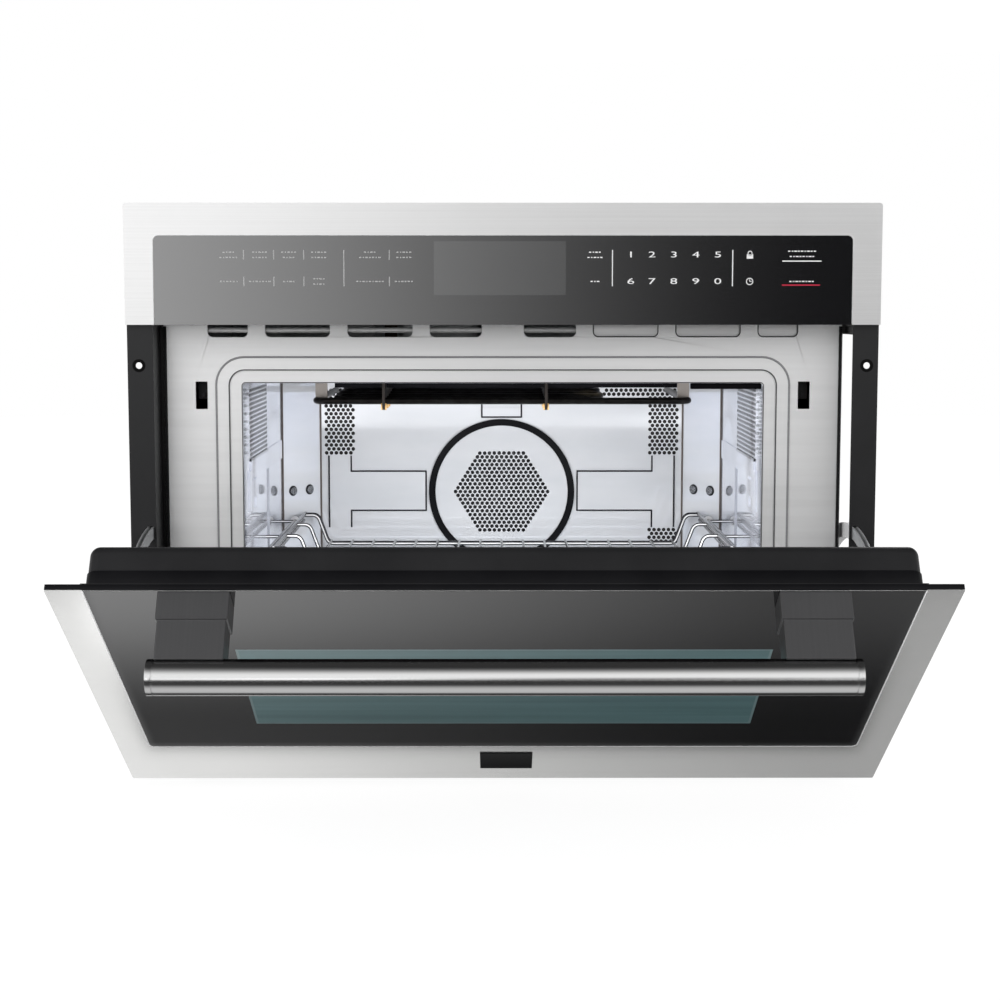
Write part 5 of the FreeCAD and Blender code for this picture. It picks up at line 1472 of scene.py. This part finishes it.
@dataclass
class CavityTrim:
    """Thin lines inside the oven: corner seams, painted shade along the edges of the rear wall's pressings, and
    near-black patches and beams of painted shade.
    """

    seam_radius: float = 1.1 * MM
    edge_radius: float = 1.0 * MM
    line_vertices: int = 12
    walls: Span = mm(105.5, 419.5)
    corners: tuple[Span, ...] = (mm(224.6, 141.2), mm(267.2, 98.8))
    edge_y: float = 140.4 * MM
    wing_x: tuple[float, ...] = mm(94.0, 187.0, 214.5)
    wing_z: tuple[float, ...] = mm(214.4, 235.0, 284.0, 302.9)
    tab_half: float = 24.5 * MM
    tab_z: Span = mm(351.3, 369.0)
    patch: tuple[Span, ...] = (mm(268.12, 268.85), mm(-200.5, -50.8), mm(324.0, 402.0))
    patch_edge: float = 0.2 * MM
    beams: tuple[tuple[Triple, Triple], ...] = (
        (mm(8.0, -98.0, 406.0), mm(388.0, 4.0, 15.0)), (mm(230.3, -244.6, 406.4), mm(73.4, 2.4, 6.0)))
    beam_edge: float = 0.8 * MM
    beam_steps: int = 3
    patch_painted_shade: Finish = Enamel("patch_painted_shade", (0.010, 0.010, 0.012), 0.6, specular=0.2)
    beam_painted_shade: Finish = Enamel("beam_painted_shade", (0.003, 0.003, 0.004), 0.6, specular=0.05)
    pressing: Finish = Enamel("pressing_shade", (0.012, 0.012, 0.015), 0.4, specular=0.2)
    seam: Finish = Brushed("seam_shade", (0.13, 0.11, 0.10), 0.35, 60.0, metallic=0.5)

    def upright(self, x: float, z: Span, y: float, radius: float) -> Piece:
        """Returns an upright line between two heights."""
        length = z[1] - z[0] + radius
        return Piece.rod("line", (x, y, (z[0] + z[1]) / 2), radius, length, Axis.Z, self.line_vertices)

    def level(self, x: Span, z: float) -> Piece:
        """Returns a level line between two places."""
        centre, length = ((x[0] + x[1]) / 2, self.edge_y, z), x[1] - x[0] + self.edge_radius
        return Piece.rod("line", centre, self.edge_radius, length, Axis.X, self.line_vertices)

    def wing(self) -> list[Piece]:
        """Makes the edges of the right-hand pressing.

        Returns:
            The edges.
        """
        near, middle, far = self.wing_x
        low, bottom, top, high = self.wing_z
        lines = [self.level((near, middle), bottom), self.level((near, middle), top)]
        uprights = ((near, (bottom, top)), (middle, (low, bottom)), (middle, (top, high)), (far, (low, high)))
        return lines + [self.upright(x, z, self.edge_y, self.edge_radius) for x, z in uprights]

    def inlays(self) -> None:
        """Makes the near-black inlays of painted shade behind the side walls' perforations, and the near-black
        beams of painted shade under the ceiling.
        """
        right = Piece.block("patch_shades", *self.patch).bevel(self.patch_edge)
        left = right.copy((-sum(self.patch[0]), 0.0, 0.0))
        Piece.join("patch_shades", [right, left]).dress("oven", "inner_steel", self.patch_painted_shade)
        beams = [Piece.box("beam", centre, size).bevel(self.beam_edge, self.beam_steps)
                 for centre, size in self.beams]
        Piece.join("ceiling_shade_beams", beams).dress("oven", "inner_steel", self.beam_painted_shade)

    def build(self) -> None:
        """Makes the lines on both sides and joins them."""
        self.inlays()
        right = Piece.join("right_lines", self.wing())
        left = right.copy()
        for vertex in left.made.data.vertices:
            vertex.co.x = -vertex.co.x
        left.made.data.flip_normals()
        pieces = [right, left, self.level((-self.tab_half, self.tab_half), self.tab_z[0])]
        pieces += [self.upright(side * self.tab_half, self.tab_z, self.edge_y, self.edge_radius)
                   for side in (-1, 1)]
        # the pressing lines are painted shade along the pressings' edges
        Piece.join("pressing_shade_lines", pieces).dress("oven", "inner_steel", self.pressing)
        seams = [self.upright(side * x, self.walls, y, self.seam_radius)
                 for side in (-1, 1) for x, y in self.corners]
        Piece.join("corner_seams", seams).dress("oven", "inner_steel", self.seam)


# Studio

WHITE = (1.0, 1.0, 1.0, 1.0)


@dataclass(frozen=True)
class FloorMirror:
    """The floor's brightness in reflections.

    The open door's glass sees the floor between its own foot and its top edge, the steel round it sees
    the floor outside of that, and the handle sees the bands further to the front. Each ramp gives two
    places and the brightness at both.
    """

    steel: Ramp = (-0.42, 0.16, 1.06, 0.60)
    steel_right: Ramp = (0.0, 0.42, 0.0, 0.18)
    glass_top: Ramp = (-0.40, 0.34, 1.9, 0.4)
    glass_foot: Ramp = (-0.40, 0.34, 0.27, 0.04)
    upper: Ramp = (-0.53, -0.36, 1.0, 0.0)
    upper_power: float = 1.2
    foot: Span = (-0.342, -0.330)
    spread_from: float = 0.339
    spread: float = 0.279
    outside: Span = (0.352, 0.372)
    light: Span = (-0.96, -0.76)
    light_end: Ramp = (-0.70, -0.60, 0.55, 0.0)
    far: Ramp = (-3.6, -2.2, 1.0, 0.0)
    far_sides: Ramp = (0.35, 0.85, 0.42, 1.07)
    dark: float = 0.04
    near: Span = (-0.56, -0.54)

    def value(self, graph: Graph) -> Value:
        """Adds the pattern to the floor's graph.

        Args:
            graph: the floor's graph.

        Returns:
            The brightness.
        """
        x, y, _ = graph.parts(graph.place())
        steel = x.ramp(*self.steel) - x.ramp(*self.steel_right)
        upper = y.ramp(*self.upper) ** self.upper_power
        glass = upper.between(x.ramp(*self.glass_foot), x.ramp(*self.glass_top))
        outside = (abs(x) + (y + self.spread_from) * self.spread).ramp(*self.outside)
        on_steel = 1 - (1 - outside) * (1 - y.ramp(*self.foot))
        light = y.ramp(*self.light) * y.ramp(*self.light_end)
        far = y.ramp(*self.far) * abs(x).ramp(*self.far_sides)
        return y.ramp(*self.near).between(light + far + self.dark, on_steel.between(glass, steel))


@dataclass(frozen=True)
class SkyMirror:
    """The sky's brightness in reflections: it dims towards the right, with a band that the panel mirrors."""

    least: float = 0.02
    left: float = 0.22
    width: float = 0.44
    fade: Ramp = (-0.1, 1.05, 1.0, 0.0)
    fade_power: float = 1.75
    panel: Span = (0.02, 1.88)
    soft: Ramp = (-0.5, 1.4, 1.08, 0.468)
    band_slope: float = 0.015
    band_heights: Ramp = (0.05, 0.10, 1.0, 0.0)
    band_middle: float = 0.5
    band_sides: Ramp = (0.55, 0.8, 1.0, 0.0)
    dome: Ramp = (0.42, 0.98, 1.0, 0.02)
    high: Span = (0.06, 0.16)
    ahead: Span = (-0.3, 0.1)
    back: Ramp = (0.30, 0.45, 0.8, 0.03)

    def value(self, graph: Graph) -> Value:
        """Adds the pattern to the sky's graph.

        Args:
            graph: the sky's graph.

        Returns:
            The brightness.
        """
        x, y, z = graph.parts(graph.node("ShaderNodeTexCoord", output="Generated"))
        away = abs(y) + self.least
        across = (x / away + self.left) / self.width
        panel = across.ramp(*self.fade) ** self.fade_power * self.panel[1] + self.panel[0]
        level = abs(z / away - self.band_slope).ramp(*self.band_heights)
        band = level * abs(across - self.band_middle).ramp(*self.band_sides)
        round_band = z.ramp(*self.high).between(across.ramp(*self.soft), z.ramp(*self.dome))
        return y.ramp(*self.ahead).between(band.between(round_band, panel), z.ramp(*self.back))


@dataclass(frozen=True)
class Lamp:
    """A rectangular soft lamp, which metal can mirror and the camera can see."""

    name: str
    place: Triple
    target: Triple
    size: Span
    power: float
    mirrored: bool = True
    seen: bool = True

    def build(self) -> None:
        """Adds the lamp."""
        light = bpy.data.lights.new(self.name, "AREA")
        light.shape = "RECTANGLE"
        light.size, light.size_y = self.size
        light.energy = self.power
        lamp = bpy.data.objects.new(self.name, light)
        bpy.context.scene.collection.objects.link(lamp)
        lamp.location = self.place
        lamp.rotation_euler = (Vector(self.target) - Vector(self.place)).to_track_quat("-Z", "Y").to_euler()
        lamp.visible_glossy = self.mirrored
        lamp.visible_camera = self.seen


@dataclass
class Studio:
    """Floor, lamps, sky and camera."""

    camera_place: Triple = (-0.0075, -2.17928, 0.49047)
    pitch: float = 84.03
    yaw: float = -0.136
    lens: float = 67.37
    sensor: float = 36.0
    clip_start: float = 0.01
    floor_size: float = 12.0
    floor_drop: float = 0.0005
    floor_colour: Colour = grey(0.82)
    floor_glow: float = 1.12
    glow_share: float = 0.84
    sky_light: float = 0.5
    lamps: tuple[Lamp, ...] = (
        Lamp("key", (-1.5, -2.3, 1.7), (0.0, -0.3, 0.2), (1.4, 1.4), 34.0, False),
        Lamp("fill", (1.8, -2.2, 1.3), (0.0, -0.2, 0.2), (1.6, 1.6), 18.0, False),
        Lamp("rear", (0.5, 2.4, 1.8), (0.0, 0.2, 0.3), (1.6, 1.6), 22.0),
        Lamp("cavity_front", (0.0, -0.243, 0.27), (0.0, 0.14, 0.265), (0.50, 0.24), 2.4, False, False),
    )

    def floor(self) -> None:
        """Makes the pale floor."""
        bpy.ops.mesh.primitive_plane_add(size=self.floor_size, location=(0.0, 0.0, -self.floor_drop))
        floor = bpy.context.object
        floor.name = "floor"
        material = bpy.data.materials.new("pale_floor")
        material.use_nodes = True
        graph = Graph(material.node_tree)
        camera, glossy = graph.rays()
        matt = graph.node("ShaderNodeBsdfDiffuse", {"Color": (*self.floor_colour, 1.0)})
        glow = graph.node("ShaderNodeEmission", {"Color": WHITE, "Strength": self.floor_glow})
        mirrored = graph.node("ShaderNodeEmission", {"Color": WHITE, "Strength": FloorMirror().value(graph)})
        seen = graph.node("ShaderNodeMixShader", {0: camera * self.glow_share, 1: matt, 2: glow})
        shader = graph.node("ShaderNodeMixShader", {0: glossy, 1: seen, 2: mirrored})
        graph.add("ShaderNodeOutputMaterial", {"Surface": shader})
        floor.data.materials.append(material)

    def sky(self) -> None:
        """Makes a white sky that metal and glass mirror as a pattern."""
        world = bpy.data.worlds.new("studio")
        bpy.context.scene.world = world
        world.use_nodes = True
        graph = Graph(world.node_tree)
        camera, glossy = graph.rays()
        plain, shine, white = (graph.node("ShaderNodeBackground", {"Color": WHITE, "Strength": strength})
                               for strength in (self.sky_light, SkyMirror().value(graph), 1.0))
        lit = graph.node("ShaderNodeMixShader", {0: glossy, 1: plain, 2: shine})
        whole = graph.node("ShaderNodeMixShader", {0: camera, 1: lit, 2: white})
        graph.add("ShaderNodeOutputWorld", {"Surface": whole})

    def camera(self) -> None:
        """Makes the camera at the photograph's place."""
        data = bpy.data.cameras.new("camera")
        data.lens = self.lens
        data.sensor_width = self.sensor
        data.clip_start = self.clip_start
        camera = bpy.data.objects.new("camera", data)
        bpy.context.scene.collection.objects.link(camera)
        camera.location = self.camera_place
        camera.rotation_euler = (math.radians(self.pitch), 0.0, math.radians(self.yaw))
        bpy.context.scene.camera = camera

    def build(self) -> None:
        """Sets up the whole studio."""
        bpy.context.scene.view_settings.view_transform = "Standard"
        self.floor()
        self.sky()
        for lamp in self.lamps:
            lamp.build()
        self.camera()


def main() -> None:
    """Builds the scene."""
    logging.basicConfig(level=logging.INFO, format="%(message)s")
    Studio().build()
    Carcass().dress()
    for part in (ControlMarks, Handle, BlankPlate, CasingScrews, CavityScrews, FrontTrim, DoorTrim, CavityTrim):
        part().build()


if __name__ == "__main__":
    main()
